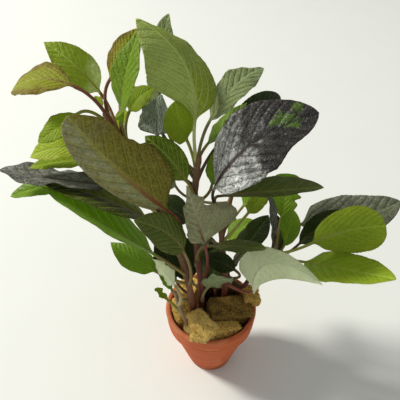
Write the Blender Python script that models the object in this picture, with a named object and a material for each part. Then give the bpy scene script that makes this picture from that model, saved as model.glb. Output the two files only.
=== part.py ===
"""A potted hygrophila: a terracotta pot, torn rock wool, leaning stems and their leaves.

The pot stands on the plane z = 0 with its axis on the origin. +Z is up and the plant's best side
faces -Y. Run it with blender --background --python part.py, or from Blender's text editor.
"""

import math
from dataclasses import dataclass

import bmesh
import bpy
import numpy as np
from mathutils import Matrix, Vector

MM = 0.001
GAP = 0.35  # clear space between neighbouring pieces, mm

# Pot, in millimetres
POT_HEIGHT = 55.0
RIM_RADIUS = 30.0
COLLAR_FOOT_RADIUS = 28.6
COLLAR_HEIGHT = 14.0
COLLAR_EDGE = 0.6  # rounding of the collar's lower edge
NECK_RADIUS = 26.8
BASE_RADIUS = 15.5
BASE_ROUNDING = 1.5
LIP_ROUNDING = 1.5
FLOOR_THICKNESS = 4.0
FLOOR_INNER_RADIUS = 12.6
MOUTH_RADIUS = 26.8
DRAIN_RADIUS = 5.0
POT_SEGMENTS = 36

# Rock wool, in millimetres
PLUG_BOTTOM = 6.5
PLUG_TOP = 43.0
PLUG_BEVEL = 1.4
PLUG_SEGMENTS = 24
CHUNK_SQUARENESS = 3.2
CHUNK_LUMPS = 0.05

# Stems, in millimetres
STEM_FOOT = 30.0
STEM_SIDES = 8
STEM_STEPS = 2  # rings between two points of the centre line
STEM_TIP_RADIUS = 0.75  # of the radius at the foot
STEM_TIP_LENGTH = 0.8  # of the radius at the tip
STEM_TIP_NARROWING = 0.55
SOCKET_CLEARANCE = 0.4
SOCKET_REACH = 16.0  # how far a socket's cutter runs on above the plug, at least

# Leaves, in millimetres
BLADE_THICKNESS = 0.6
EDGE_THICKNESS = 0.36
PETIOLE_RADIUS = 0.95
PETIOLE_BEND = 0.45  # of the straight way from stem to blade, kept in line with the blade
STEM_PROBE = 2.0  # height over which the stem's direction is read
RIB_SPREAD = 1.6  # half width of a midrib, in its own radii
STALK_TURN = 72.0  # degrees from the middle of a round stalk's ring to its last point
MIDRIB_FADE = 0.75  # of the petiole's radius, at the blade's foot
TIP_HALF_WIDTH = 0.4
BLADE_FULL = 0.16  # part of the blade's length over which the round stalk turns flat
PETIOLE_STATIONS = (0.0, 0.4, 0.8)
BLADE_STATIONS = (0.05, 0.16, 0.32, 0.5, 0.67, 0.83, 0.95, 1.0)
LARGE_ACROSS = (-1.0, -0.5, 0.0, 0.5, 1.0)
SMALL_ACROSS = (-1.0, 0.0, 1.0)
LARGE_WIDTH = 24.0  # from this width on, a leaf has five points across


@dataclass(frozen=True)
class Finish:
    """Colour (linear RGB), roughness and metallic value of one kind of surface."""

    colour: tuple
    roughness: float
    metallic: float = 0.0


@dataclass(frozen=True)
class Stem:
    """One stem, in mm: the points its centre line runs through above the wool, and its radius."""

    name: str
    points: tuple
    radius: float
    finish: str = "stem"


@dataclass(frozen=True)
class Chunk:
    """One torn piece of rock wool: centre, full size and turn about Z, in mm and degrees."""

    name: str
    centre: tuple
    size: tuple
    turn: float


@dataclass(frozen=True)
class Leaf:
    """One leaf with its stalk, in mm and degrees.

    The stalk leaves its stem at a height. The blade runs from base to tip, bowed up by arch and
    aside by sweep as parts of its length. The blade is rolled about its midrib and folded up along
    it. The belly is where along the blade it is widest, blunt makes its ends rounder below 2, lean
    gives one half more width than the other, and skew puts one half's belly nearer the tip and the
    other's nearer the foot.
    """

    name: str
    stem: str
    height: float
    base: tuple
    tip: tuple
    width: float
    arch: float
    sweep: float
    roll: float
    fold: float
    finish: str
    belly: float = 0.46
    blunt: float = 1.7
    curl: float = 0.1
    lean: float = 0.0
    skew: float = 0.0


FINISHES = {
    "terracotta": Finish((0.46, 0.13, 0.055), 0.82),
    "wool": Finish((0.23, 0.145, 0.04), 0.95),
    "stem": Finish((0.10, 0.035, 0.018), 0.5),
    "pale_stem": Finish((0.28, 0.13, 0.08), 0.55),
    "fresh": Finish((0.16, 0.25, 0.035), 0.45),
    "bright": Finish((0.11, 0.27, 0.012), 0.42),
    "yellow": Finish((0.34, 0.40, 0.07), 0.5),
    "bronze": Finish((0.14, 0.13, 0.035), 0.45),
    "grey": Finish((0.15, 0.17, 0.10), 0.5),
    "silver": Finish((0.42, 0.47, 0.36), 0.6),
    "dark": Finish((0.03, 0.055, 0.01), 0.4),
    "purple": Finish((0.045, 0.035, 0.04), 0.35),
    "withered": Finish((0.07, 0.065, 0.06), 0.6),
}

STEMS = (
    Stem("stem_left", ((-12, -5, 53), (-14, -6, 81), (-20, -2, 110), (-30, 4, 139),
                       (-42, 8, 166), (-55, 13, 192)), 2.2),
    Stem("stem_middle", ((-6, -1, 53), (-7, -1, 80), (-10, 1, 120), (-10, 3, 150), (-8, 4, 172)), 2.1),
    Stem("stem_right", ((9, 6, 53), (9, 4, 75), (6, 3, 110), (2, 1, 142)), 2.0),
    Stem("stem_far_right", ((14, 8, 42), (18, 9, 54), (25, 8, 71), (34, 5, 89), (42, 3, 103)), 1.8),
    Stem("stem_front", ((-13, -12, 42), (-16, -16, 58), (-20, -18, 77), (-22, -19, 92)), 1.3, "pale_stem"),
    Stem("stem_back", ((4, 15, 53), (6, 22, 85), (10, 29, 112), (14, 33, 130)), 1.9),
)

CHUNKS = (
    Chunk("wool_front", (-6.4, -17.2, 52.6), (16, 11.6, 18), 4),
    Chunk("wool_front_right", (9.3, -17.4, 51.8), (14, 10, 15), 14),
    Chunk("wool_right", (11.8, -4.8, 53), (25, 14, 18), -8),
    Chunk("wool_rim", (26.8, 4.6, 59.4), (9, 12.5, 7), 10),
    Chunk("wool_left", (-20.1, -4.0, 53), (9.5, 15, 17), 14),
    Chunk("wool_left_back", (-14.0, 12.0, 52.4), (13, 14, 16), -24),
    Chunk("wool_back", (-1.6, 20.4, 51.6), (12, 8.5, 14), 0),
    Chunk("wool_back_right", (13.0, 16.4, 51.8), (12, 8.5, 14), -38),
)

LEAVES = (
    Leaf("leaf_left_outer", "stem_left", 187, (-69, 14, 207), (-103, 22, 200),
         24, 0.15, -0.02, -15, 8, "bronze", 0.52),
    Leaf("leaf_left_upper", "stem_left", 182, (-60, 30, 195), (-86, 36, 220),
         21, 0.08, -0.03, -30, 8, "yellow", 0.42),
    Leaf("leaf_left_back", "stem_left", 188, (-52, 24, 210), (-40, 33, 230),
         16, 0.0, 0.04, 25, 6, "bronze"),
    Leaf("leaf_left_upright", "stem_left", 169, (-47, 12, 194), (-36, 22, 225),
         18, 0.1, 0.03, 0, 28, "bright"),
    Leaf("leaf_left_inner", "stem_left", 168, (-45, 24, 188), (-36, 40, 203),
         15, 0.12, 0.0, 15, 15, "fresh", 0.4),
    Leaf("leaf_left_hanging", "stem_left", 179, (-50, 28, 187), (-52, 30, 166),
         11, 0.02, 0.02, -20, 4, "yellow", 0.52),
    Leaf("leaf_left_front", "stem_left", 184, (-68, 10, 194), (-81, -4, 187),
         12, 0.04, -0.05, -20, 10, "fresh"),
    Leaf("leaf_left_lower", "stem_left", 158, (-67, 10, 174), (-97, 8, 169),
         16, 0.1, -0.02, -25, 14, "yellow"),
    Leaf("leaf_top_large", "stem_middle", 169, (-10, 8, 190), (-37, 24, 236),
         38, 0.14, 0.1, -12, -22, "fresh", 0.51),
    Leaf("leaf_top_right", "stem_middle", 157, (-3, 14, 186), (26, 36, 206),
         18, 0.24, 0.1, 12, 10, "grey", 0.44),
    Leaf("leaf_top_right_back", "stem_middle", 155, (7, 18, 176), (37, 39, 188),
         18, 0.12, 0.08, 45, 20, "dark", 0.52),
    Leaf("leaf_top_narrow", "stem_middle", 146, (-4, 13, 173), (17, 23, 193),
         12, 0.08, 0.06, 0, 10, "bright", 0.42),
    Leaf("leaf_top_back", "stem_middle", 158, (-29, 36, 197), (-23, 45, 231),
         15, 0.0, -0.03, 10, 18, "grey", 0.54),
    Leaf("leaf_mid_upright", "stem_middle", 142, (-1, 4, 153), (1, 12, 171),
         9, 0.1, 0.03, -5, 15, "bright"),
    Leaf("leaf_mid_small", "stem_middle", 163, (-14, 10, 178), (-20, 15, 198),
         12, 0.02, -0.06, -20, 14, "fresh", 0.4),
    Leaf("leaf_mid_crumpled", "stem_middle", 153, (-30, 18, 176), (-27, 26, 196),
         20, 0.05, -0.04, -28, 8, "grey", 0.4),
    Leaf("leaf_mid_ribbed", "stem_middle", 146, (-14, 1, 158), (-36, 8, 183),
         17, 0.06, 0.0, -50, 10, "dark", 0.48),
    Leaf("leaf_bronze_large", "stem_left", 116, (-24, -12, 149), (-68, -8, 203),
         38, 0.05, 0.0, -52, -4, "bronze", 0.5, 1.25, 0.1, -0.06, -0.1),
    Leaf("leaf_purple_large", "stem_right", 142, (0, -2, 155), (50, 4, 198),
         37, 0.18, 0.07, 38, 8, "purple", 0.48, 1.5),
    Leaf("leaf_withered_left", "stem_left", 128, (-52, 4, 153), (-117, 15, 157),
         22, 0.02, -0.06, 10, 14, "withered", 0.4),
    Leaf("leaf_far_left", "stem_left", 125, (-72, 20, 143), (-108, 12, 142),
         14, 0.05, 0.0, -12, 20, "bright", 0.56),
    Leaf("leaf_dark_long", "stem_left", 106, (-35, -2, 132), (-93, 4, 155),
         22, 0.1, -0.02, 5, 10, "dark"),
    Leaf("leaf_right_long", "stem_right", 134, (3, 5, 145), (60, 4, 152),
         18, 0.1, 0.12, 10, 14, "dark", 0.55),
    Leaf("leaf_right_triangular", "stem_far_right", 98, (42, 16, 118), (45, 30, 142),
         18, 0.1, 0.02, 0, 8, "bright"),
    Leaf("leaf_right_small", "stem_right", 112, (20, 6, 131), (33, 17, 140),
         11, 0.05, 0.02, 5, 12, "fresh", 0.42),
    Leaf("leaf_right_grey", "stem_far_right", 94, (56, 24, 106), (117, 36, 115),
         32, 0.0, 0.07, 26, 16, "grey", 0.38, 1.2),
    Leaf("leaf_right_oval", "stem_far_right", 102, (57, -4, 117), (100, 2, 125),
         28, 0.06, -0.02, 24, 5, "fresh", 0.52),
    Leaf("leaf_right_upright", "stem_far_right", 98, (44, 7, 104), (47, 11, 130),
         14, 0.02, 0.04, 0, 14, "bright", 0.5),
    Leaf("leaf_right_shaded", "stem_far_right", 88, (54, 11, 101), (79, 17, 124),
         15, 0.06, 0.02, 34, 14, "dark", 0.5),
    Leaf("leaf_right_low", "stem_far_right", 95, (56, 0, 97), (90, -43, 131),
         23, 0.0, 0.0, 8, 11, "bright"),
    Leaf("leaf_inner_dark", "stem_right", 84, (20, 8, 100), (34, 16, 121),
         15, 0.06, 0.05, 20, 10, "dark", 0.5),
    Leaf("leaf_inner_level", "stem_middle", 100, (-2, -6, 117), (29, -16, 125),
         12, 0.02, 0.0, -6, 12, "dark", 0.55),
    Leaf("leaf_inner_deep", "stem_right", 78, (14, -7, 97), (-4, -5, 107),
         12, 0.06, 0.0, -50, 12, "dark", 0.52),
    Leaf("leaf_silver_turned", "stem_right", 72, (26, -4, 76), (60, -28, 109),
         28, 0.33, 0.0, 56, 34, "silver", 0.3, 1.3),
    Leaf("leaf_wilted", "stem_middle", 78, (-5, -13, 126), (-14, -15, 168),
         25, 0.0, 0.0, -75, 8, "silver", 0.38, 1.2, 0.1, 0.5),
    Leaf("leaf_front_oval", "stem_left", 84, (-16, -18, 124), (-40, -25, 154),
         20, 0.1, 0.0, -45, 12, "dark", 0.48),
    Leaf("leaf_front_long", "stem_left", 92, (-32, -12, 115), (-94, 4, 153),
         32, 0.07, -0.06, 20, 22, "bright", 0.36),
    Leaf("leaf_folded_pale", "stem_front", 88, (-22, -22, 102), (-34, -15, 116),
         11, 0.02, 0.0, 20, 16, "silver", 0.36),
    Leaf("leaf_front_low", "stem_left", 84, (-34, -6, 95), (-63, 12, 102),
         19, 0.0, -0.02, 0, 10, "dark", 0.42),
    Leaf("leaf_back_right_high", "stem_back", 128, (20, 36, 148), (43, 39, 174),
         23, 0.1, 0.04, 10, 10, "fresh"),
    Leaf("leaf_back_left_high", "stem_back", 118, (-22, 34, 128), (-46, 41, 154),
         24, 0.1, -0.04, -10, 10, "grey"),
    Leaf("leaf_back_right_low", "stem_back", 100, (20, 33, 113), (42, 38, 127),
         22, 0.12, 0.0, 10, 12, "bright"),
    Leaf("leaf_back_left_low", "stem_back", 88, (-14, 32, 100), (-42, 39, 113),
         22, 0.12, 0.0, -10, 12, "dark"),
    Leaf("leaf_back_low", "stem_back", 74, (12, 34, 80), (30, 42, 93),
         18, 0.12, 0.0, 0, 12, "bright"),
)


def clear_scene():
    """Take every object out of the file."""
    for thing in list(bpy.data.objects):
        bpy.data.objects.remove(thing, do_unlink=True)


def unit(vector):
    """Return the vector at length one."""
    return vector / np.linalg.norm(vector)


def material_for(name, finish):
    """Make one piece's Principled material."""
    material = bpy.data.materials.new(name)
    material.use_nodes = True
    shader = material.node_tree.nodes["Principled BSDF"]
    shader.inputs["Base Color"].default_value = (*finish.colour, 1.0)
    shader.inputs["Roughness"].default_value = finish.roughness
    shader.inputs["Metallic"].default_value = finish.metallic
    material.diffuse_color = (*finish.colour, 1.0)
    return material


def object_from(bm, name, finish_name, sharp_degrees=40.0):
    """Turn a bmesh drawn in millimetres into a smooth-shaded object in metres."""
    bmesh.ops.scale(bm, vec=(MM, MM, MM), verts=bm.verts)
    bmesh.ops.recalc_face_normals(bm, faces=bm.faces)
    mesh = bpy.data.meshes.new(name)
    bm.to_mesh(mesh)
    bm.free()
    mesh.shade_smooth()
    mesh.set_sharp_from_angle(angle=math.radians(sharp_degrees))
    mesh.materials.append(material_for(name, FINISHES[finish_name]))
    thing = bpy.data.objects.new(name, mesh)
    bpy.context.scene.collection.objects.link(thing)
    return thing


def loft(rings, closed=False, plate=False):
    """Skin rings of equal length, in order. An open loft gets a cap on each end.

    The faces of a thin plate are split in triangles, so that its two skins bend along the same lines.
    """
    bm = bmesh.new()
    loops = [[bm.verts.new(point) for point in ring] for ring in rings]
    pairs = list(zip(loops, loops[1:]))
    if closed:
        pairs.append((loops[-1], loops[0]))
    for first, second in pairs:
        for i, corner in enumerate(first):
            j = (i + 1) % len(first)
            if not plate:
                bm.faces.new((corner, first[j], second[j], second[i]))
            elif i < len(first) // 2:
                bm.faces.new((corner, first[j], second[j]))
                bm.faces.new((corner, second[j], second[i]))
            else:
                bm.faces.new((corner, first[j], second[i]))
                bm.faces.new((first[j], second[j], second[i]))
    if not closed:
        bm.faces.new(loops[0])
        bm.faces.new(loops[-1])
    return bm


def turned(profile, segments):
    """Rings of a profile of (radius, height) points turned about Z, one ring for each angle."""
    angles = [math.tau * i / segments for i in range(segments)]
    return [[(r * math.cos(a), r * math.sin(a), z) for r, z in profile] for a in angles]


def arc(centre, radius, start, end, steps):
    """Points on an arc in the (radius, height) plane, angles in degrees."""
    angles = [math.radians(start + (end - start) * i / steps) for i in range(steps + 1)]
    return [(centre[0] + radius * math.cos(a), centre[1] + radius * math.sin(a)) for a in angles]


def pot_inner_radius(z):
    """Inner radius of the pot's wall at a height."""
    t = (z - FLOOR_THICKNESS) / (POT_HEIGHT - LIP_ROUNDING - FLOOR_THICKNESS)
    return FLOOR_INNER_RADIUS + t * (MOUTH_RADIUS - FLOOR_INNER_RADIUS)


def build_pot():
    """The pot: a tapered body, a collar with a rounded lip, and a drain hole in the floor."""
    collar_foot = POT_HEIGHT - COLLAR_HEIGHT
    lip_height = POT_HEIGHT - LIP_ROUNDING
    profile = [(DRAIN_RADIUS, 0.0)]
    profile += arc((BASE_RADIUS - BASE_ROUNDING, BASE_ROUNDING), BASE_ROUNDING, -90, 0, 2)
    profile += [(NECK_RADIUS, collar_foot - COLLAR_EDGE), (COLLAR_FOOT_RADIUS - COLLAR_EDGE, collar_foot)]
    profile += [(COLLAR_FOOT_RADIUS, collar_foot + COLLAR_EDGE)]
    profile += arc((RIM_RADIUS - LIP_ROUNDING, lip_height), LIP_ROUNDING, 0, 90, 3)
    profile += arc((MOUTH_RADIUS + LIP_ROUNDING, lip_height), LIP_ROUNDING, 90, 180, 3)[1:]
    profile += [(FLOOR_INNER_RADIUS, FLOOR_THICKNESS), (DRAIN_RADIUS, FLOOR_THICKNESS)]
    return object_from(loft(turned(profile, POT_SEGMENTS), closed=True), "terracotta_pot", "terracotta")


def curve_through(points, steps):
    """Catmull-Rom points through the given ones, as an array."""
    knots = np.array(points, float)
    knots = np.vstack([2 * knots[0] - knots[1], knots, 2 * knots[-1] - knots[-2]])
    line = []
    for i in range(1, len(knots) - 2):
        before, start, end, after = knots[i - 1 : i + 3]
        for t in np.linspace(0.0, 1.0, steps, endpoint=False):
            pull = (end - before) * t + (2 * before - 5 * start + 4 * end - after) * t**2
            line.append(0.5 * (2 * start + pull + (3 * start - before - 3 * end + after) * t**3))
    line.append(knots[-2])
    return np.array(line)


def stem_line(stem):
    """Centre line of a stem from its foot in the wool to its top."""
    x, y, _ = stem.points[0]
    return curve_through([(x, y, STEM_FOOT), *stem.points], STEM_STEPS)


def tube_rings(line, radii, sides):
    """Rings square to a line, with little turn from one to the next."""
    directions = np.gradient(line, axis=0)
    across = np.array([1.0, 0.0, 0.0])
    rings = []
    for point, direction, radius in zip(line, directions, radii):
        direction = unit(direction)
        across = unit(across - direction * (across @ direction))
        other = np.cross(direction, across)
        angles = [math.tau * i / sides for i in range(sides)]
        rings.append([point + radius * (math.cos(a) * across + math.sin(a) * other) for a in angles])
    return rings


def stem_radius(stem, z):
    """Radius of a stem at a height: it tapers from its foot to its top."""
    top = stem.points[-1][2]
    t = min(max((z - STEM_FOOT) / (top - STEM_FOOT), 0.0), 1.0)
    return stem.radius * (1.0 + t * (STEM_TIP_RADIUS - 1.0))


def build_stem(stem):
    """One stem, closed by a small rounded tip."""
    line = stem_line(stem)
    radii = [stem_radius(stem, point[2]) for point in line]
    along = unit(line[-1] - line[-2])
    line = np.vstack([line, line[-1] + along * STEM_TIP_LENGTH * radii[-1]])
    radii.append(STEM_TIP_NARROWING * radii[-1])
    return object_from(loft(tube_rings(line, radii, STEM_SIDES)), stem.name, stem.finish)


def socket_cutter(stem):
    """A wire-drawn tube that cuts a stem's socket into the wool."""
    line = stem_line(stem)
    line = line[line[:, 2] < PLUG_TOP + SOCKET_REACH]
    line = np.vstack([line[0] - np.array([0.0, 0.0, SOCKET_CLEARANCE]), line])
    radii = [stem.radius + SOCKET_CLEARANCE] * len(line)
    cutter = object_from(loft(tube_rings(line, radii, STEM_SIDES)), f"socket_{stem.name}", "wool")
    cutter.hide_render = True
    cutter.display_type = "WIRE"
    return cutter


def build_plug():
    """The block of rock wool that fills the pot, with a socket for each stem."""
    heights = (PLUG_BOTTOM, PLUG_TOP - PLUG_BEVEL, PLUG_TOP)
    inset = (GAP, GAP, GAP + PLUG_BEVEL)
    radii = [pot_inner_radius(z) - gap for z, gap in zip(heights, inset)]
    angles = [math.tau * i / PLUG_SEGMENTS for i in range(PLUG_SEGMENTS)]
    rings = [[(r * math.cos(a), r * math.sin(a), z) for a in angles] for r, z in zip(radii, heights)]
    plug = object_from(loft(rings), "wool_plug", "wool")
    for stem in STEMS:
        cut = plug.modifiers.new(f"socket for {stem.name}", "BOOLEAN")
        cut.operation = "DIFFERENCE"
        cut.solver = "EXACT"
        cut.object = socket_cutter(stem)
    return plug


def build_chunk(chunk, index):
    """One torn piece of wool: a rounded block with lumps, each piece with its own."""
    bm = bmesh.new()
    bmesh.ops.create_icosphere(bm, subdivisions=2, radius=1.0)
    half = Vector(chunk.size) / 2
    turn = Matrix.Rotation(math.radians(chunk.turn), 3, "Z")
    for vert in bm.verts:
        direction = vert.co.normalized()
        total = sum(abs(value) ** CHUNK_SQUARENESS for value in direction)
        reach = total ** (-1.0 / CHUNK_SQUARENESS)
        wave = math.sin(5 * direction.x + 2 * index) * math.sin(4 * direction.y - index)
        reach *= 1.0 - CHUNK_LUMPS * (1.0 + wave + 0.5 * math.sin(7 * direction.z + index))
        body = Vector((direction[i] * half[i] for i in range(3))) * reach
        vert.co = turn @ body + Vector(chunk.centre)
    return object_from(bm, chunk.name, "wool")


def half_width(leaf, along, side):
    """Width of one half of the blade, side 1 or -1, at a part of its length."""
    belly = leaf.belly + side * leaf.skew
    rise, fall = leaf.blunt * belly, leaf.blunt * (1.0 - belly)
    shape = (along / belly) ** rise * (max(1.0 - along, 0.0) / (1.0 - belly)) ** fall
    return 0.5 * leaf.width * (1.0 + side * leaf.lean) * shape


def blade_control(leaf):
    """Base, control point and tip of the blade's midrib."""
    base, tip = np.array(leaf.base, float), np.array(leaf.tip, float)
    chord = tip - base
    side = unit(np.array([chord[1], -chord[0], 0.0]))
    up = np.cross(side, unit(chord))
    reach = np.linalg.norm(chord)
    return base, (base + tip) / 2 + 2 * reach * (leaf.arch * up + leaf.sweep * side), tip


def quadratic(start, control, end, t):
    """Point and unit direction on a quadratic Bezier."""
    point = (1 - t) ** 2 * start + 2 * t * (1 - t) * control + t**2 * end
    return point, unit((1 - t) * (control - start) + t * (end - control))


def petiole_controls(leaf, stem):
    """Foot and control point of the stalk, which leaves the stem's skin and meets the blade in line."""
    base, control, _ = blade_control(leaf)
    line = stem_line(stem)
    axis = np.array([np.interp(leaf.height, line[:, 2], line[:, k]) for k in range(3)])
    below = np.array([np.interp(leaf.height - STEM_PROBE, line[:, 2], line[:, k]) for k in range(3)])
    stem_way = unit(axis - below)
    bend = base - unit(control - base) * PETIOLE_BEND * np.linalg.norm(base - axis)
    outward = bend - axis
    outward = unit(outward - stem_way * (outward @ stem_way))
    lean = unit(bend - axis)
    spread = PETIOLE_RADIUS * math.sqrt(max(1.0 - (lean @ outward) ** 2, 0.0))
    return axis + outward * (stem_radius(stem, leaf.height) + GAP + spread), bend


def leaf_ring(point, way, halves, leaf, round_radius, blend, across):
    """One ring of a leaf: round where blend is 0, a thin folded plate where it is 1."""
    side = unit(np.array([way[1], -way[0], 0.0]))
    up = np.cross(side, way)
    roll = math.radians(leaf.roll)
    normal = up * math.cos(roll) + side * math.sin(roll)
    lateral = side * math.cos(roll) - up * math.sin(roll)
    fold = math.radians(leaf.fold)
    top, bottom = [], []
    for u in across:
        arm = halves[u > 0]
        flat = point + lateral * arm * u * math.cos(fold)
        flat = flat + normal * arm * (abs(u) * math.sin(fold) - leaf.curl * u * u)
        skin = BLADE_THICKNESS + abs(u) * (EDGE_THICKNESS - BLADE_THICKNESS)
        nearness = max(0.0, 1.0 - abs(u) * arm / (RIB_SPREAD * round_radius))
        rib = 0.5 * skin + (round_radius - 0.5 * skin) * nearness
        angle = u * math.radians(STALK_TURN)
        ring_x, ring_y = round_radius * math.sin(angle), round_radius * math.cos(angle)
        for side_points, sign in ((top, 1.0), (bottom, -1.0)):
            plate = flat + normal * sign * max(rib, 0.5 * skin)
            circle = point + lateral * ring_x + normal * sign * ring_y
            side_points.append(circle + blend * (plate - circle))
    return top + bottom[::-1]


def build_leaf(leaf, stem):
    """One leaf: a round stalk that flattens into a thin blade with a midrib."""
    across = LARGE_ACROSS if leaf.width >= LARGE_WIDTH else SMALL_ACROSS
    foot, bend = petiole_controls(leaf, stem)
    base, control, tip = blade_control(leaf)
    rings = []
    for t in PETIOLE_STATIONS:
        point, way = quadratic(foot, bend, base, t)
        halves = (PETIOLE_RADIUS, PETIOLE_RADIUS)
        rings.append(leaf_ring(point, way, halves, leaf, PETIOLE_RADIUS, 0.0, across))
    for t in BLADE_STATIONS:
        point, way = quadratic(base, control, tip, t)
        rib = PETIOLE_RADIUS * MIDRIB_FADE * (1.0 - t) + 0.5 * BLADE_THICKNESS * t
        least = max(PETIOLE_RADIUS * (1.0 - t), TIP_HALF_WIDTH)
        halves = [max(half_width(leaf, t, side), least) for side in (-1, 1)]
        rings.append(leaf_ring(point, way, halves, leaf, rib, min(1.0, t / BLADE_FULL), across))
    return object_from(loft(rings, plate=True), leaf.name, leaf.finish)


def main():
    """Build every piece."""
    clear_scene()
    build_pot()
    build_plug()
    for index, chunk in enumerate(CHUNKS):
        build_chunk(chunk, index)
    stems = {stem.name: stem for stem in STEMS}
    for stem in STEMS:
        build_stem(stem)
    for leaf in LEAVES:
        build_leaf(leaf, stems[leaf.stem])


main()
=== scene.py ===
"""The looks of a potted hygrophila: clay, torn rock wool, reddish stems and broad veined leaves.

Lengths are in millimetres in the tables and in metres in the meshes. The pot stands on z = 0 with its
axis on the origin, and the plant's best side faces -Y.
"""

import logging
import math
from dataclasses import dataclass, field
from enum import Enum
from typing import Any, Optional

import bpy
import numpy as np
from mathutils import Matrix, Vector, noise


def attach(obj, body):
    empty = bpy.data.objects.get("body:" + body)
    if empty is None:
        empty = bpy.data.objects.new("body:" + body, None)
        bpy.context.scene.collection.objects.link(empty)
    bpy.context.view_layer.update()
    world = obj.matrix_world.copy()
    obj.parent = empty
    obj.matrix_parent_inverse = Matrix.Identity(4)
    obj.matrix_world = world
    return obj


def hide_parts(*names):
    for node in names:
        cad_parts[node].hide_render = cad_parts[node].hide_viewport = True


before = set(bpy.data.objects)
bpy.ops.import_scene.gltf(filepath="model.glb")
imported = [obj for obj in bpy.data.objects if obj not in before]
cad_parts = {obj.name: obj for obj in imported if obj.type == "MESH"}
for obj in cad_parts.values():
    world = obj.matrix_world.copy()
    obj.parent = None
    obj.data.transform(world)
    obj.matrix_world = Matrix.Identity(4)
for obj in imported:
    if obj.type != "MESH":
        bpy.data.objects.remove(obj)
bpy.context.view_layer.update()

LOG = logging.getLogger("potted_hygrophila")
MM = 0.001
BODY = "root"
# A vector on every point for the shaders. Leaf: across, along, and 1 to 2 from midrib to rim, below zero
# underneath. Stem: around, along. Wool: all 1 on loose fibres.
MARK = "piece_place"
Colour = tuple[float, float, float]
Point = tuple[float, float, float]


# Shader maths


class Value:
    """A number that changes over a surface. Arithmetic on it adds Math nodes."""

    def __init__(self, graph: "Graph", socket: bpy.types.NodeSocket) -> None:
        """Wrap a socket of a node tree that carries a number."""
        self.graph = graph
        self.socket = socket

    def _math(self, operation: str, *terms: Any, clamp: bool = False) -> "Value":
        """Add one Math node.

        Args:
            operation: the node's operation.
            terms: its inputs, values or numbers.
            clamp: keep the result between 0 and 1.

        Returns:
            The node's result.
        """
        settings = {"operation": operation, "use_clamp": clamp}
        node = self.graph.node("ShaderNodeMath", settings, dict(enumerate(terms)))
        return Value(self.graph, node.outputs[0])

    def __add__(self, other: Any) -> "Value":
        """Sum."""
        return self._math("ADD", self, other)

    def __sub__(self, other: Any) -> "Value":
        """Difference."""
        return self._math("SUBTRACT", self, other)

    def __rsub__(self, other: Any) -> "Value":
        """Difference, the other way round."""
        return self._math("SUBTRACT", other, self)

    def __mul__(self, other: Any) -> "Value":
        """Product."""
        return self._math("MULTIPLY", self, other)

    def __truediv__(self, other: Any) -> "Value":
        """Quotient."""
        return self._math("DIVIDE", self, other)

    def __gt__(self, other: Any) -> "Value":
        """One where this value is the larger, otherwise zero."""
        return self._math("GREATER_THAN", self, other)

    def __abs__(self) -> "Value":
        """Size without sign."""
        return self._math("ABSOLUTE", self)

    __radd__ = __add__
    __rmul__ = __mul__

    def fraction(self) -> "Value":
        """Part after the decimal point."""
        return self._math("FRACT", self)

    def step(self, low: float, high: float) -> "Value":
        """Rise smoothly from 0 to 1.

        Args:
            low: where it is still 0.
            high: where it has reached 1; below low, the rise becomes a fall.

        Returns:
            The smooth step.
        """
        if high < low:
            return 1.0 - self.step(high, low)
        settings = {"interpolation_type": "SMOOTHSTEP"}
        sockets = {"Value": self, "From Min": low, "From Max": high}
        return Value(self.graph, self.graph.node("ShaderNodeMapRange", settings, sockets).outputs[0])


class Tint:
    """A colour that changes over a surface."""

    def __init__(self, graph: "Graph", socket: bpy.types.NodeSocket) -> None:
        """Wrap a socket of a node tree that carries a colour."""
        self.graph = graph
        self.socket = socket

    def towards(self, other: Any, share: Any) -> "Tint":
        """Mix this colour with a share of another."""
        return self.graph.mix(self, other, share)


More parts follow.
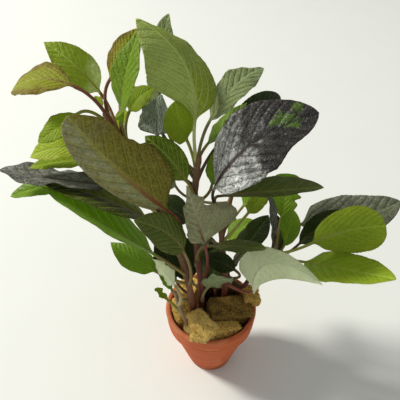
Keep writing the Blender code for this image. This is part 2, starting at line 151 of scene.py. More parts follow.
class Graph:
    """The node tree of one material."""

    def __init__(self, name: str, flat: Colour) -> None:
        """Start a material.

        Args:
            name: the material's name.
            flat: its plain colour outside of renders.
        """
        self.material = bpy.data.materials.new(name)
        self.material.use_nodes = True
        self.material.diffuse_color = (*flat, 1.0)
        self.tree = self.material.node_tree
        self.tree.nodes.clear()

    def node(self, kind: str, settings: dict[str, Any], sockets: dict[Any, Any]) -> bpy.types.Node:
        """Add a node.

        Args:
            kind: its type.
            settings: its own settings, set first.
            sockets: values or links by the socket's name or index.

        Returns:
            The node.
        """
        made = self.tree.nodes.new(kind)
        for key, value in settings.items():
            setattr(made, key, value)
        for key, value in sockets.items():
            socket = made.inputs[key]
            if isinstance(value, (Value, Tint)):
                self.tree.links.new(value.socket, socket)
            elif isinstance(value, bpy.types.NodeSocket):
                self.tree.links.new(value, socket)
            elif isinstance(value, tuple) and len(value) < len(socket.default_value):
                socket.default_value = (*value, 1.0)
            else:
                socket.default_value = value
        return made

    def mix(self, first: Any, second: Any, share: Any) -> Tint:
        """Mix two colours.

        Args:
            first: the colour at share 0.
            second: the colour at share 1.
            share: a value or a number.

        Returns:
            The mixed colour.
        """
        settings = {"data_type": "RGBA", "clamp_factor": True}
        node = self.node("ShaderNodeMix", settings, {0: share, 6: first, 7: second})
        return Tint(self, node.outputs[2])

    def place(self) -> Tint:
        """Position in the object's own space, in metres."""
        return Tint(self, self.node("ShaderNodeTexCoord", {}, {}).outputs["Object"])

    def stretched(self, vector: Tint, scale: Point) -> Tint:
        """Position with each axis multiplied by its own factor."""
        node = self.node("ShaderNodeVectorMath", {"operation": "MULTIPLY"}, {0: vector, 1: scale})
        return Tint(self, node.outputs[0])

    def vector(self, x: Any, y: Any, z: Any) -> Tint:
        """A vector of three values or numbers."""
        return Tint(self, self.node("ShaderNodeCombineXYZ", {}, {0: x, 1: y, 2: z}).outputs[0])

    def attribute(self, name: str) -> tuple[Value, Value, Value]:
        """Read a vector attribute of the mesh.

        Args:
            name: the attribute's name.

        Returns:
            Its three numbers.
        """
        vector = self.node("ShaderNodeAttribute", {"attribute_name": name}, {}).outputs["Vector"]
        split = self.node("ShaderNodeSeparateXYZ", {}, {0: vector})
        return tuple(Value(self, output) for output in split.outputs)

    def cloud(self, vector: Tint, size: float, detail: float = 3.0, warp: float = 0.0) -> Value:
        """Soft noise around one half.

        Args:
            vector: where it is read.
            size: the size of its patches, in mm.
            detail: how many finer layers it has.
            warp: how much it swirls.

        Returns:
            The noise.
        """
        sockets = {"Vector": vector, "Scale": 1.0 / (size * MM), "Detail": detail, "Distortion": warp}
        return Value(self, self.node("ShaderNodeTexNoise", {}, sockets).outputs["Fac"])

    def cells(self, vector: Tint, size: float, feature: str = "DISTANCE_TO_EDGE") -> Value:
        """Distances in a pattern of cells.

        Args:
            vector: where it is read.
            size: the size of a cell, in mm.
            feature: what distance is read.

        Returns:
            The distance.
        """
        sockets = {"Vector": vector, "Scale": 1.0 / (size * MM)}
        node = self.node("ShaderNodeTexVoronoi", {"feature": feature}, sockets)
        return Value(self, node.outputs["Distance"])

    def bump(self, height: Value, depth: float) -> bpy.types.NodeSocket:
        """Turn a height, around 0 to 1, into a normal; depth is what 1 stands for, in mm."""
        sockets = {"Strength": 1.0, "Distance": depth * MM, "Height": height}
        return self.node("ShaderNodeBump", {}, sockets).outputs["Normal"]

    def finish(
        self, through: Any = None, glow: Colour = (1.0, 1.0, 1.0), **sockets: Any
    ) -> bpy.types.Material:
        """End the tree in a Principled shader, mixed with a translucent one where light comes through.

        Args:
            through: the translucent shader's share, if it has one.
            glow: its colour.
            sockets: the Principled shader's inputs, with _ for a space.

        Returns:
            The material.
        """
        named = {key.replace("_", " "): value for key, value in sockets.items()}
        shader = self.node("ShaderNodeBsdfPrincipled", {}, named).outputs[0]
        if through is not None:
            thin = self.node("ShaderNodeBsdfTranslucent", {}, {"Color": glow}).outputs[0]
            shader = self.node("ShaderNodeMixShader", {}, {0: through, 1: shader, 2: thin}).outputs[0]
        self.node("ShaderNodeOutputMaterial", {}, {"Surface": shader})
        return self.material


# Finishes

# A side vein's path: along = across * slope + across squared * curve + its place, in parts of the length
VEIN_SLOPE = 1.25
VEIN_CURVE = 1.6
VEIN_PAIRS = 8.5


@dataclass(frozen=True)
class ClayFinish:
    """Unglazed terracotta: fine grain, turning lines, pale lime bloom and a damp foot.

    The lines, the pale rim and the damp foot are heights in metres.
    """

    name: str = "terracotta"
    clay: Colour = (0.54, 0.115, 0.030)
    burnt: Colour = (0.34, 0.065, 0.020)
    bloom: Colour = (0.64, 0.28, 0.14)
    damp: Colour = (0.20, 0.055, 0.025)
    roughness: float = 0.78
    lines: tuple[float, float] = (0.0436, 0.0476)
    pale_rim: tuple[float, float] = (0.051, 0.0552)
    damp_foot: float = 0.010

    def material(self) -> bpy.types.Material:
        """Make the material.

        Returns:
            The material.
        """
        graph = Graph(self.name, self.clay)
        place = graph.place()
        turned = graph.cloud(graph.stretched(place, (0.25, 0.25, 6.0)), 9.0, 3.0)
        patches = graph.cloud(place, 14.0, 4.0, 0.4)
        speckle = graph.cells(place, 0.9, "F1")
        height = Value(graph, graph.node("ShaderNodeSeparateXYZ", {}, {0: place}).outputs[2])
        colour = graph.mix(self.clay, self.burnt, turned.step(0.42, 0.72) * 0.55)
        colour = colour.towards(self.bloom, patches.step(0.52, 0.75) * 0.34)
        colour = colour.towards(self.bloom, height.step(*self.pale_rim) * patches.step(0.3, 0.6) * 0.45)
        colour = colour.towards(self.damp, height.step(self.damp_foot, 0.0) * patches.step(0.35, 0.6) * 0.5)
        colour = colour.towards(self.bloom, speckle.step(0.16, 0.05) * 0.3)
        worn = patches.step(0.3, 0.6)
        for line in self.lines:
            colour = colour.towards(self.bloom, abs(height - line).step(0.0006, 0.0002) * worn * 0.6)
        grain = graph.cloud(place, 0.5, 4.0)
        relief = grain * 0.6 + turned * 0.5 + speckle.step(0.0, 0.3) * 0.2
        return graph.finish(
            Base_Color=colour,
            Roughness=self.roughness + grain * 0.14 - patches * 0.06,
            Normal=graph.bump(relief, 0.16),
            Specular_IOR_Level=0.35,
        )


@dataclass(frozen=True)
class WoolFinish:
    """Rock wool: matted mustard fibres, darker where it is wet, with painted shade in the pits."""

    name: str
    dry: Colour
    wet_and_shade: Colour
    pale: Colour
    dampness: float

    def material(self) -> bpy.types.Material:
        """Make the material.

        Returns:
            The material.
        """
        graph = Graph(self.name, self.dry)
        place = graph.place()
        _, _, loose = graph.attribute(MARK)
        patches = graph.cloud(place, 6.5, 4.0, 0.6)
        strands = graph.cloud(graph.stretched(place, (1.0, 2.5, 5.0)), 2.0, 5.0, 1.6)
        pits = graph.cloud(place, 1.1, 3.0, 1.0)
        colour = graph.mix(self.dry, self.wet_and_shade, patches.step(0.62 - self.dampness, 0.75 - self.dampness))
        colour = colour.towards(self.pale, strands.step(0.5, 0.66) * 0.7)
        # Painted shade: the pits, low in the relief, darken towards the wet colour
        colour = colour.towards(self.wet_and_shade, pits.step(0.52, 0.40) * 0.75)
        colour = colour.towards(self.pale, loose * 0.8)
        relief = strands * 0.7 + pits * 0.8
        return graph.finish(
            Base_Color=colour,
            Roughness=0.86 + strands * 0.12,
            Normal=graph.bump(relief, 0.9),
            Specular_IOR_Level=0.15,
        )


@dataclass(frozen=True)
class StemFinish:
    """A water plant's stem: reddish brown below, greener above, with fine lengthwise lines."""

    name: str
    low: Colour
    high: Colour
    streak: Colour
    roughness: float = 0.42

    def material(self) -> bpy.types.Material:
        """Make the material.

        Returns:
            The material.
        """
        graph = Graph(self.name, self.low)
        place = graph.place()
        around, along, _ = graph.attribute(MARK)
        patches = graph.cloud(place, 7.0, 3.0, 0.5)
        lines = graph.cloud(graph.stretched(place, (3.0, 3.0, 0.35)), 1.5, 3.0)
        colour = graph.mix(self.low, self.high, (along + patches * 0.5).step(0.45, 1.25))
        colour = colour.towards(self.streak, lines.step(0.5, 0.7) * 0.45)
        colour = colour.towards(self.low, graph.cells(place, 1.6, "F1").step(0.28, 0.12) * 0.5)
        ridges = abs((around * 9.0).fraction() - 0.5)
        return graph.finish(
            Base_Color=colour,
            Roughness=self.roughness + lines * 0.2,
            Normal=graph.bump(lines * 0.7 + ridges * 0.5, 0.12),
        )


@dataclass(frozen=True)
class LeafFinish:
    """A leaf's two sides, its veins and what has happened to it.

    The blush is a second colour towards the rim and in patches. The half tint covers one half of the
    blade, 1 or -1; on the banded look it is painted shade, on the bronze look a painted reflection.
    The sheen is painted light, standing in for reflections and for light shining through: it whitens
    the blade where across and along, times their factors, rise above the start, and on wrinkled leaves
    it paints highlights on the crests and shade in the creases. Shade is how dark the painted shade in
    the hollows, creases and crumples and the mottling are, as a part of the upper colour, and the
    furrow shade is how much painted shade falls in the hollows between the veins. The glow is the light
    that comes through. Living spots are (across, along, half width, half length) in parts of the
    blade's length.
    """

    upper: Colour
    under: Colour
    vein: Colour
    blush: Colour
    stalk: Colour
    glow: Colour
    veining: float = 0.6
    blushing: float = 0.3
    through: float = 0.22
    roughness: float = 0.42
    gloss: float = 0.2
    network: float = 0.3
    mottling: float = 0.35
    furrow_shade: float = 0.35
    shade: float = 0.35
    half: float = 0.0
    half_tint: Colour = (0.2, 0.2, 0.2)
    half_share: float = 0.6
    wrinkles: float = 0.0
    painted_sheen: float = 0.0
    painted_sheen_tint: Colour = (0.55, 0.57, 0.52)
    painted_sheen_rise: tuple[float, float, float] = (0.0, 0.0, 0.0)
    decay: float = 0.0
    decay_tint: Colour = (0.10, 0.055, 0.025)
    speck_tint: Colour = (0.04, 0.025, 0.012)
    spots: tuple[tuple[float, float, float, float], ...] = ()
    spot_tint: Colour = (0.05, 0.10, 0.012)

    def material(self, name: str) -> bpy.types.Material:
        """Make the material.

        Args:
            name: the finish's name.

        Returns:
            The material.
        """
        graph = Graph(f"leaf_{name.lower()}", self.upper)
        place = graph.place()
        across, along, skin = graph.attribute(MARK)
        reach, rim = abs(across), abs(skin) - 1.0
        on_blade = along.step(-0.02, 0.04)
        patches = graph.cloud(place, 9.0, 4.0, 0.5)
        fine = graph.cloud(place, 1.6, 4.0)
        paths = (along - reach * VEIN_SLOPE - reach * reach * VEIN_CURVE) * VEIN_PAIRS
        nearness = abs(paths.fraction() - 0.5)
        ribs = nearness.step(0.37, 0.48) * rim.step(1.0, 0.66) * on_blade
        hollows = nearness.step(0.2, 0.42) * on_blade
        midrib = (reach + along * 0.010).step(0.027, 0.010)
        net = graph.cells(place, 2.0).step(0.16, 0.03) * on_blade

        colour = graph.mix(self.under, self.upper, skin > 0.0)
        # The half tint: painted shade on the banded look, a painted reflection on the bronze look
        if self.half:
            side = (across * self.half + (patches - 0.5) * 0.08).step(-0.02, 0.04)
            colour = colour.towards(self.half_tint, side * self.half_share)
        # The upper colour at its shade, for the mottling and for the painted shade in hollows, creases and
        # crumples
        dark = tuple(self.shade * part for part in self.upper)
        colour = colour.towards(dark, (fine * 0.5 + patches * 0.6).step(0.5, 0.75) * self.mottling)
        # Painted shade in the hollows between the side veins
        colour = colour.towards(dark, hollows * (1.0 - ribs) * self.furrow_shade)
        rust = (rim.step(0.2, 1.05) + patches - 0.5).step(0.1, 0.9)
        colour = colour.towards(self.blush, rust * self.blushing)
        wrinkle = fine * 0.1
        if self.wrinkles > 0.0:
            creased = graph.cloud(graph.vector(across * 2.2, along, skin * 0.01), 110.0, 5.0, 1.4)
            crumple = graph.cloud(place, 3.2, 4.0, 1.2)
            creases = abs(creased - 0.5).step(0.045, 0.0) * self.wrinkles
            crest_highlight = abs(crumple - 0.5).step(0.05, 0.01) * self.wrinkles
            wrinkle = (creased + crumple) * 0.7 * self.wrinkles - creases * 0.6
            # Painted shade in the hollows of the crumples
            colour = colour.towards(dark, crumple.step(0.5, 0.36) * self.wrinkles)
        # Painted sheen: reflected light and light shining through, whitening the blade where the rise is
        # high
        if self.painted_sheen > 0.0:
            start, by_across, by_along = self.painted_sheen_rise
            rise = start + across * by_across + along * by_along
            painted_shine = (rise + (patches - 0.5) * 1.2).step(0.2, 0.9)
            grain = (fine * 0.7 + wrinkle * 0.6).step(0.28, 0.72)
            colour = colour.towards(self.painted_sheen_tint, painted_shine * (0.25 + grain * 0.75) * self.painted_sheen)
            # On wrinkled leaves, painted highlights on the crests and painted shade in the creases
            if self.wrinkles > 0.0:
                colour = colour.towards(self.painted_sheen_tint, crest_highlight * (0.08 + painted_shine * 0.7) * self.painted_sheen)
                colour = colour.towards(dark, creases * 0.85)
        colour = colour.towards(self.vein, net * self.network)
        colour = colour.towards(self.vein, ribs * self.veining)
        if self.decay > 0.0:
            end = (rim * 0.5 + along * 0.5 + patches - 0.5).step(0.72, 1.1)
            colour = colour.towards(self.decay_tint, end * self.decay)
            specks = graph.cells(place, 7.0, "F1").step(0.13, 0.05)
            colour = colour.towards(self.speck_tint, specks * self.decay)
        for x, y, wide, long in self.spots:
            inside = (abs(across - x) / wide + abs(along - y) / long + (fine - 0.5) * 2.4).step(1.15, 0.75)
            colour = colour.towards(self.spot_tint, inside)
        colour = colour.towards(self.vein, midrib * 0.8)
        colour = colour.towards(self.stalk, midrib * along.step(0.75, 0.0))
        colour = colour.towards(self.stalk, along.step(0.03, -0.03))
        relief = fine * 0.25 - net * 0.4 - ribs * 0.3 - hollows * 0.5 + wrinkle
        thin = 0.75 + ribs * 0.4 + net * 0.15 + patches * 0.3
        return graph.finish(
            through=self.through * thin * along.step(-0.1, 0.02),
            glow=self.glow,
            Base_Color=colour,
            Roughness=self.roughness + fine * 0.14 - ribs * 0.05 + (1.0 - (skin > 0.0)) * 0.12,
            Normal=graph.bump(relief, 0.35 + 0.7 * self.wrinkles),
            Specular_IOR_Level=self.gloss,
        )


@dataclass(frozen=True)
class FloorFinish:
    """A plain pale tabletop."""

    colour: Colour = (0.80, 0.81, 0.755)
    mottle: float = 0.97
    patch: float = 60.0

    def material(self) -> bpy.types.Material:
        """Make the material.

        Returns:
            The material.
        """
        graph = Graph("plain_floor", self.colour)
        darker = tuple(self.mottle * part for part in self.colour)
        colour = graph.mix(self.colour, darker, graph.cloud(graph.place(), self.patch, 2.0))
        return graph.finish(Base_Color=colour, Roughness=0.75, Specular_IOR_Level=0.3)


class Look(Enum):
    """The finishes of the plant's leaves."""

    FRESH = LeafFinish(
        upper=(0.25, 0.355, 0.010), under=(0.30, 0.38, 0.05), vein=(0.42, 0.52, 0.07),
        blush=(0.30, 0.30, 0.012), stalk=(0.30, 0.30, 0.07), glow=(0.66, 0.84, 0.03), through=0.30,
        blushing=0.25, mottling=0.45, furrow_shade=0.2, veining=0.5,
    )
    # Top: a light painted sheen over the paler half
    TOP = LeafFinish(
        upper=(0.26, 0.33, 0.016), under=(0.30, 0.38, 0.07), vein=(0.60, 0.72, 0.22),
        blush=(0.24, 0.27, 0.012), stalk=(0.42, 0.46, 0.16), glow=(0.60, 0.74, 0.04), through=0.26,
        half=-1.0, half_tint=(0.42, 0.52, 0.15), half_share=0.75, veining=0.75, blushing=0.25,
        painted_sheen=0.15, painted_sheen_tint=(0.62, 0.72, 0.42), painted_sheen_rise=(0.45, -1.6, 0.0), furrow_shade=0.45,
    )
    BRIGHT = LeafFinish(
        upper=(0.155, 0.265, 0.004), under=(0.22, 0.34, 0.02), vein=(0.30, 0.42, 0.03),
        blush=(0.20, 0.25, 0.006), stalk=(0.27, 0.21, 0.05), glow=(0.52, 0.80, 0.01), through=0.32,
        blushing=0.25, gloss=0.4, roughness=0.34, mottling=0.5,
    )
    # Ribbed: strong painted shade in the furrows between the veins
    RIBBED = LeafFinish(
        upper=(0.105, 0.165, 0.004), under=(0.16, 0.25, 0.02), vein=(0.40, 0.50, 0.08),
        blush=(0.10, 0.13, 0.004), stalk=(0.27, 0.21, 0.05), glow=(0.42, 0.64, 0.01), through=0.20,
        blushing=0.2, veining=0.9, furrow_shade=0.75,
    )
    # Banded: the near-black half is painted shade, the shadowed side of the folded blade
    BANDED = LeafFinish(
        upper=(0.15, 0.20, 0.004), under=(0.16, 0.22, 0.02), vein=(0.27, 0.34, 0.03),
        blush=(0.13, 0.15, 0.006), stalk=(0.22, 0.16, 0.05), glow=(0.42, 0.56, 0.01), through=0.16,
        half=-1.0, half_tint=(0.010, 0.013, 0.006), half_share=0.92, mottling=0.5, gloss=0.4,
        roughness=0.34,
    )
    # Yellow: the whitish sheen near the base is a painted glow of light shining through
    YELLOW = LeafFinish(
        upper=(0.37, 0.47, 0.024), under=(0.42, 0.50, 0.09), vein=(0.62, 0.68, 0.20),
        blush=(0.36, 0.30, 0.02), stalk=(0.24, 0.12, 0.045), glow=(0.86, 1.0, 0.10), through=0.38,
        mottling=0.25, painted_sheen=0.75, painted_sheen_tint=(0.86, 0.92, 0.45), painted_sheen_rise=(1.1, 0.0, -2.4),
        furrow_shade=0.3,
    )
    BRONZE_TIP = LeafFinish(
        upper=(0.29, 0.31, 0.012), under=(0.31, 0.33, 0.04), vein=(0.46, 0.48, 0.09),
        blush=(0.17, 0.075, 0.018), stalk=(0.20, 0.075, 0.04), glow=(0.74, 0.78, 0.04), through=0.26,
        blushing=0.85, decay=0.2,
    )
    # Bronze: the grey half is a painted reflection of the sky, and its sheen a painted reflection too
    BRONZE = LeafFinish(
        upper=(0.25, 0.215, 0.018), under=(0.28, 0.28, 0.10), vein=(0.40, 0.40, 0.09),
        blush=(0.22, 0.145, 0.025), stalk=(0.26, 0.075, 0.035), glow=(0.55, 0.52, 0.04), through=0.10,
        roughness=0.45, network=0.4, blushing=0.4, mottling=0.5, half=-1.0,
        half_tint=(0.42, 0.45, 0.25), half_share=0.85, wrinkles=0.35, painted_sheen=0.5,
        painted_sheen_tint=(0.50, 0.48, 0.36), painted_sheen_rise=(-0.1, -1.0, 0.7), veining=0.45, furrow_shade=0.3,
    )
    # Grey: an even painted sheen of small glints
    GREY = LeafFinish(
        upper=(0.22, 0.28, 0.09), under=(0.26, 0.31, 0.15), vein=(0.42, 0.50, 0.24),
        blush=(0.22, 0.26, 0.12), stalk=(0.22, 0.20, 0.08), glow=(0.42, 0.54, 0.12), through=0.18,
        roughness=0.4, wrinkles=0.3, painted_sheen=0.5, painted_sheen_tint=(0.55, 0.64, 0.44),
        painted_sheen_rise=(0.3, 0.0, 0.0),
    )
    PALE = LeafFinish(
        upper=(0.76, 0.83, 0.56), under=(0.70, 0.76, 0.48), vein=(0.95, 0.97, 0.84),
        blush=(0.60, 0.58, 0.34), stalk=(0.32, 0.11, 0.07), glow=(0.95, 1.0, 0.80), through=0.7,
        roughness=0.6, decay=0.6, wrinkles=0.2, mottling=0.12, furrow_shade=0.25,
    )
    WHITENED = LeafFinish(
        upper=(0.78, 0.84, 0.62), under=(0.74, 0.80, 0.58), vein=(0.92, 0.95, 0.84),
        blush=(0.60, 0.62, 0.44), stalk=(0.40, 0.34, 0.17), glow=(0.95, 1.0, 0.80), through=0.7,
        roughness=0.5, veining=0.4, network=0.2, wrinkles=0.2, mottling=0.15, furrow_shade=0.2,
    )
    # Sunlit: the fresh colours with a painted glow of light shining through near the base
    SUNLIT = LeafFinish(
        upper=(0.27, 0.36, 0.016), under=(0.34, 0.42, 0.07), vein=(0.55, 0.62, 0.16),
        blush=(0.30, 0.28, 0.02), stalk=(0.24, 0.12, 0.045), glow=(0.72, 0.90, 0.06), through=0.30,
        furrow_shade=0.25, painted_sheen=2.0, painted_sheen_tint=(0.92, 0.96, 0.62), painted_sheen_rise=(1.2, 1.6, -2.6),
    )
    # Matt: a painted sheen towards one rim and the tip
    MATT = LeafFinish(
        upper=(0.15, 0.17, 0.085), under=(0.20, 0.21, 0.13), vein=(0.20, 0.23, 0.13),
        blush=(0.16, 0.15, 0.10), stalk=(0.22, 0.20, 0.08), glow=(0.30, 0.36, 0.10), through=0.12,
        roughness=0.6, veining=0.25, furrow_shade=0.15, blushing=0.5, wrinkles=0.45, painted_sheen=0.45,
        painted_sheen_tint=(0.42, 0.44, 0.36), painted_sheen_rise=(0.35, -1.2, 0.3), decay=0.3,
    )
    SILVER = LeafFinish(
        upper=(0.34, 0.345, 0.17), under=(0.32, 0.33, 0.18), vein=(0.50, 0.52, 0.32),
        blush=(0.30, 0.26, 0.13), stalk=(0.22, 0.065, 0.045), glow=(0.55, 0.60, 0.25), through=0.18,
        roughness=0.6, veining=0.4, network=0.45, decay=0.5, wrinkles=0.3, mottling=0.5,
    )
    # Olive: a faint painted sheen, more towards the tip
    OLIVE = LeafFinish(
        upper=(0.085, 0.120, 0.006), under=(0.11, 0.15, 0.03), vein=(0.20, 0.26, 0.035),
        blush=(0.10, 0.10, 0.010), stalk=(0.22, 0.16, 0.05), glow=(0.26, 0.40, 0.01), through=0.14,
        roughness=0.36, painted_sheen=0.25, painted_sheen_tint=(0.28, 0.31, 0.16), painted_sheen_rise=(0.1, 0.0, 0.2),
        gloss=0.35,
    )
    # Dark: leaves nearly black-green, painted shade for the inside of the plant
    DARK = LeafFinish(
        upper=(0.016, 0.030, 0.002), under=(0.03, 0.05, 0.008), vein=(0.05, 0.08, 0.010),
        blush=(0.04, 0.055, 0.006), stalk=(0.10, 0.07, 0.03), glow=(0.14, 0.28, 0.004), through=0.12,
        roughness=0.36,
    )
    # Crumpled: painted glints on the wrinkles and painted shade in the creases
    CRUMPLED = LeafFinish(
        upper=(0.07, 0.10, 0.04), under=(0.12, 0.15, 0.08), vein=(0.36, 0.44, 0.30),
        blush=(0.08, 0.10, 0.05), stalk=(0.12, 0.11, 0.06), glow=(0.22, 0.30, 0.12), through=0.06,
        roughness=0.25, gloss=0.5, wrinkles=0.8, painted_sheen=0.95, painted_sheen_tint=(0.75, 0.84, 0.70),
        painted_sheen_rise=(0.75, 0.0, 0.0), veining=0.3,
    )
    # Purple: the white sheen towards the base is a painted reflection; the green spots are living tissue
    PURPLE = LeafFinish(
        upper=(0.030, 0.026, 0.020), under=(0.06, 0.045, 0.05), vein=(0.014, 0.011, 0.009),
        blush=(0.06, 0.045, 0.035), stalk=(0.10, 0.06, 0.05), glow=(0.10, 0.12, 0.03), through=0.04,
        roughness=0.36, gloss=0.4, veining=0.5, network=0.0, wrinkles=0.55, painted_sheen=1.0,
        painted_sheen_tint=(0.88, 0.90, 0.84), painted_sheen_rise=(1.2, 0.3, -1.7),
        spots=((-0.09, 0.885, 0.05, 0.05), (-0.045, 0.765, 0.06, 0.10), (0.01, 0.83, 0.05, 0.07)),
        spot_tint=(0.09, 0.16, 0.02),
    )
    # Withered: painted glints on the wrinkles and painted shade in the creases
    WITHERED = LeafFinish(
        upper=(0.15, 0.148, 0.105), under=(0.11, 0.105, 0.08), vein=(0.19, 0.185, 0.15),
        blush=(0.06, 0.055, 0.04), stalk=(0.07, 0.05, 0.035), glow=(0.25, 0.22, 0.12), through=0.03,
        roughness=0.5, blushing=0.4, wrinkles=0.7, painted_sheen=0.75, painted_sheen_tint=(0.42, 0.42, 0.36),
        painted_sheen_rise=(0.5, 0.0, 0.0), veining=0.2, decay=0.6, decay_tint=(0.05, 0.032, 0.018),
    )


class Fibre(Enum):
    """The finishes of the rock wool."""

    DRY = WoolFinish("wool_dry", (0.72, 0.44, 0.09), (0.24, 0.115, 0.018), (0.95, 0.70, 0.24), -0.04)
    # Bright: dry pale wool, made paler still as painted sunlight on the front lumps
    BRIGHT = WoolFinish("wool_bright", (1.0, 0.66, 0.15), (0.50, 0.26, 0.04), (1.0, 0.86, 0.38), -0.14)
    DAMP = WoolFinish("wool_damp", (0.26, 0.155, 0.032), (0.05, 0.028, 0.007), (0.42, 0.28, 0.08), 0.06)
    # Wet: dark wet wool, darker still as painted shade for the back lumps behind the stems
    WET = WoolFinish("wool_wet", (0.13, 0.078, 0.018), (0.035, 0.020, 0.006), (0.24, 0.16, 0.05), 0.1)
    # Soaked: nearly black, soaked wool and painted shade for the bed deep in the pot's mouth
    SOAKED = WoolFinish(
        "wool_soaked", (0.035, 0.022, 0.010), (0.010, 0.007, 0.004), (0.07, 0.045, 0.016), 0.15
    )


class Bark(Enum):
    """The finishes of the stems."""

    RED = StemFinish("stem_red", (0.17, 0.060, 0.030), (0.19, 0.11, 0.04), (0.34, 0.18, 0.09))
    DARK_RED = StemFinish("stem_dark_red", (0.13, 0.024, 0.016), (0.15, 0.085, 0.03), (0.22, 0.07, 0.04))
    PALE = StemFinish("stem_pale", (0.30, 0.165, 0.095), (0.20, 0.14, 0.06), (0.42, 0.28, 0.17))


# Geometry


def unit(vector: np.ndarray) -> np.ndarray:
    """The vector at length one."""
    return vector / np.linalg.norm(vector)


def smooth(low: float, high: float, value: Any) -> Any:
    """Rise smoothly from 0 at low to 1 at high."""
    t = np.clip((value - low) / (high - low), 0.0, 1.0)
    return t * t * (3.0 - 2.0 * t)


def curve_through(points: list[Point], steps: int) -> np.ndarray:
    """Put a smooth line through points.

    Args:
        points: the points, in order.
        steps: how many pieces each span is cut into.

    Returns:
        The line's points.
    """
    knots = np.array(points, float)
    knots = np.vstack([2 * knots[0] - knots[1], knots, 2 * knots[-1] - knots[-2]])
    line = []
    for i in range(1, len(knots) - 2):
        before, start, end, after = knots[i - 1 : i + 3]
        for t in np.linspace(0.0, 1.0, steps, endpoint=False):
            pull = (end - before) * t + (2 * before - 5 * start + 4 * end - after) * t**2
            line.append(0.5 * (2 * start + pull + (3 * start - before - 3 * end + after) * t**3))
    line.append(knots[-2])
    return np.array(line)


def bezier(
    start: np.ndarray, control: np.ndarray, end: np.ndarray, t: float
) -> tuple[np.ndarray, np.ndarray]:
    """Read a quadratic curve.

    Args:
        start: where it starts.
        control: what it bends towards.
        end: where it ends.
        t: the part of the way.

    Returns:
        The point and the unit direction there.
    """
    point = (1 - t) ** 2 * start + 2 * t * (1 - t) * control + t**2 * end
    return point, unit((1 - t) * (control - start) + t * (end - control))


def tube_rings(line: np.ndarray, radii: np.ndarray, sides: int) -> np.ndarray:
    """Rings square to a line.

    Args:
        line: the centre line.
        radii: the radius at each of its points.
        sides: points on a ring.

    Returns:
        The rings, as an array of points.
    """
    directions = np.gradient(line, axis=0)
    across = np.array([1.0, 0.0, 0.0])
    angles = np.linspace(0.0, math.tau, sides, endpoint=False)
    rings = []
    for point, direction, radius in zip(line, directions, radii):
        direction = unit(direction)
        across = unit(across - direction * (across @ direction))
        other = np.cross(direction, across)
        rings.append(point + radius * (np.outer(np.cos(angles), across) + np.outer(np.sin(angles), other)))
    return np.array(rings)


@dataclass
class Shell:
    """The points and faces of one piece, in millimetres, with a vector attribute for its shader."""

    points: list[Any] = field(default_factory=list)
    faces: list[tuple[int, ...]] = field(default_factory=list)
    marks: list[Any] = field(default_factory=list)

    def add_rings(self, rings: np.ndarray, marks: Optional[np.ndarray] = None, closed: bool = False) -> None:
        """Skin rings of points.

        Args:
            rings: the rings, all of one length.
            marks: the attribute of each point.
            closed: join the last ring to the first, instead of capping the ends.
        """
        count, sides = rings.shape[:2]
        base = len(self.points)
        self.points.extend(rings.reshape(-1, 3))
        self.marks.extend((np.zeros((count * sides, 3)) if marks is None else marks.reshape(-1, 3)))
        for row in range(count if closed else count - 1):
            first, second = base + row * sides, base + (row + 1) % count * sides
            for i in range(sides):
                j = (i + 1) % sides
                self.faces.append((first + i, first + j, second + j, second + i))
        if not closed:
            self.faces.append(tuple(range(base + sides - 1, base - 1, -1)))
            self.faces.append(tuple(range(base + (count - 1) * sides, base + count * sides)))

    def add_fibre(self, line: np.ndarray, radius: float) -> None:
        """Add one strand, three-sided and pointed.

        Args:
            line: its centre line.
            radius: its radius in the middle.
        """
        radii = radius * np.sin(np.linspace(0.25, 0.97, len(line)) * math.pi)
        rings = tube_rings(line, radii, 3)
        self.add_rings(rings, np.ones_like(rings))

    def piece(self, name: str, slot: str, material: bpy.types.Material) -> bpy.types.Object:
        """Make the object.

        Args:
            name: its name.
            slot: the name of one of the record's material slots; not used.
            material: its material.

        Returns:
            The object, riding on the plant's body.
        """
        mesh = bpy.data.meshes.new(name)
        mesh.from_pydata([tuple(point * MM) for point in np.array(self.points)], [], self.faces)
        layer = mesh.attributes.new(MARK, "FLOAT_VECTOR", "POINT")
        layer.data.foreach_set("vector", np.array(self.marks, np.float32).ravel())
        mesh.shade_smooth()
        mesh.materials.append(material)
        made = bpy.data.objects.new(name, mesh)
        bpy.context.scene.collection.objects.link(made)
        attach(made, BODY)
        return made


# The pot


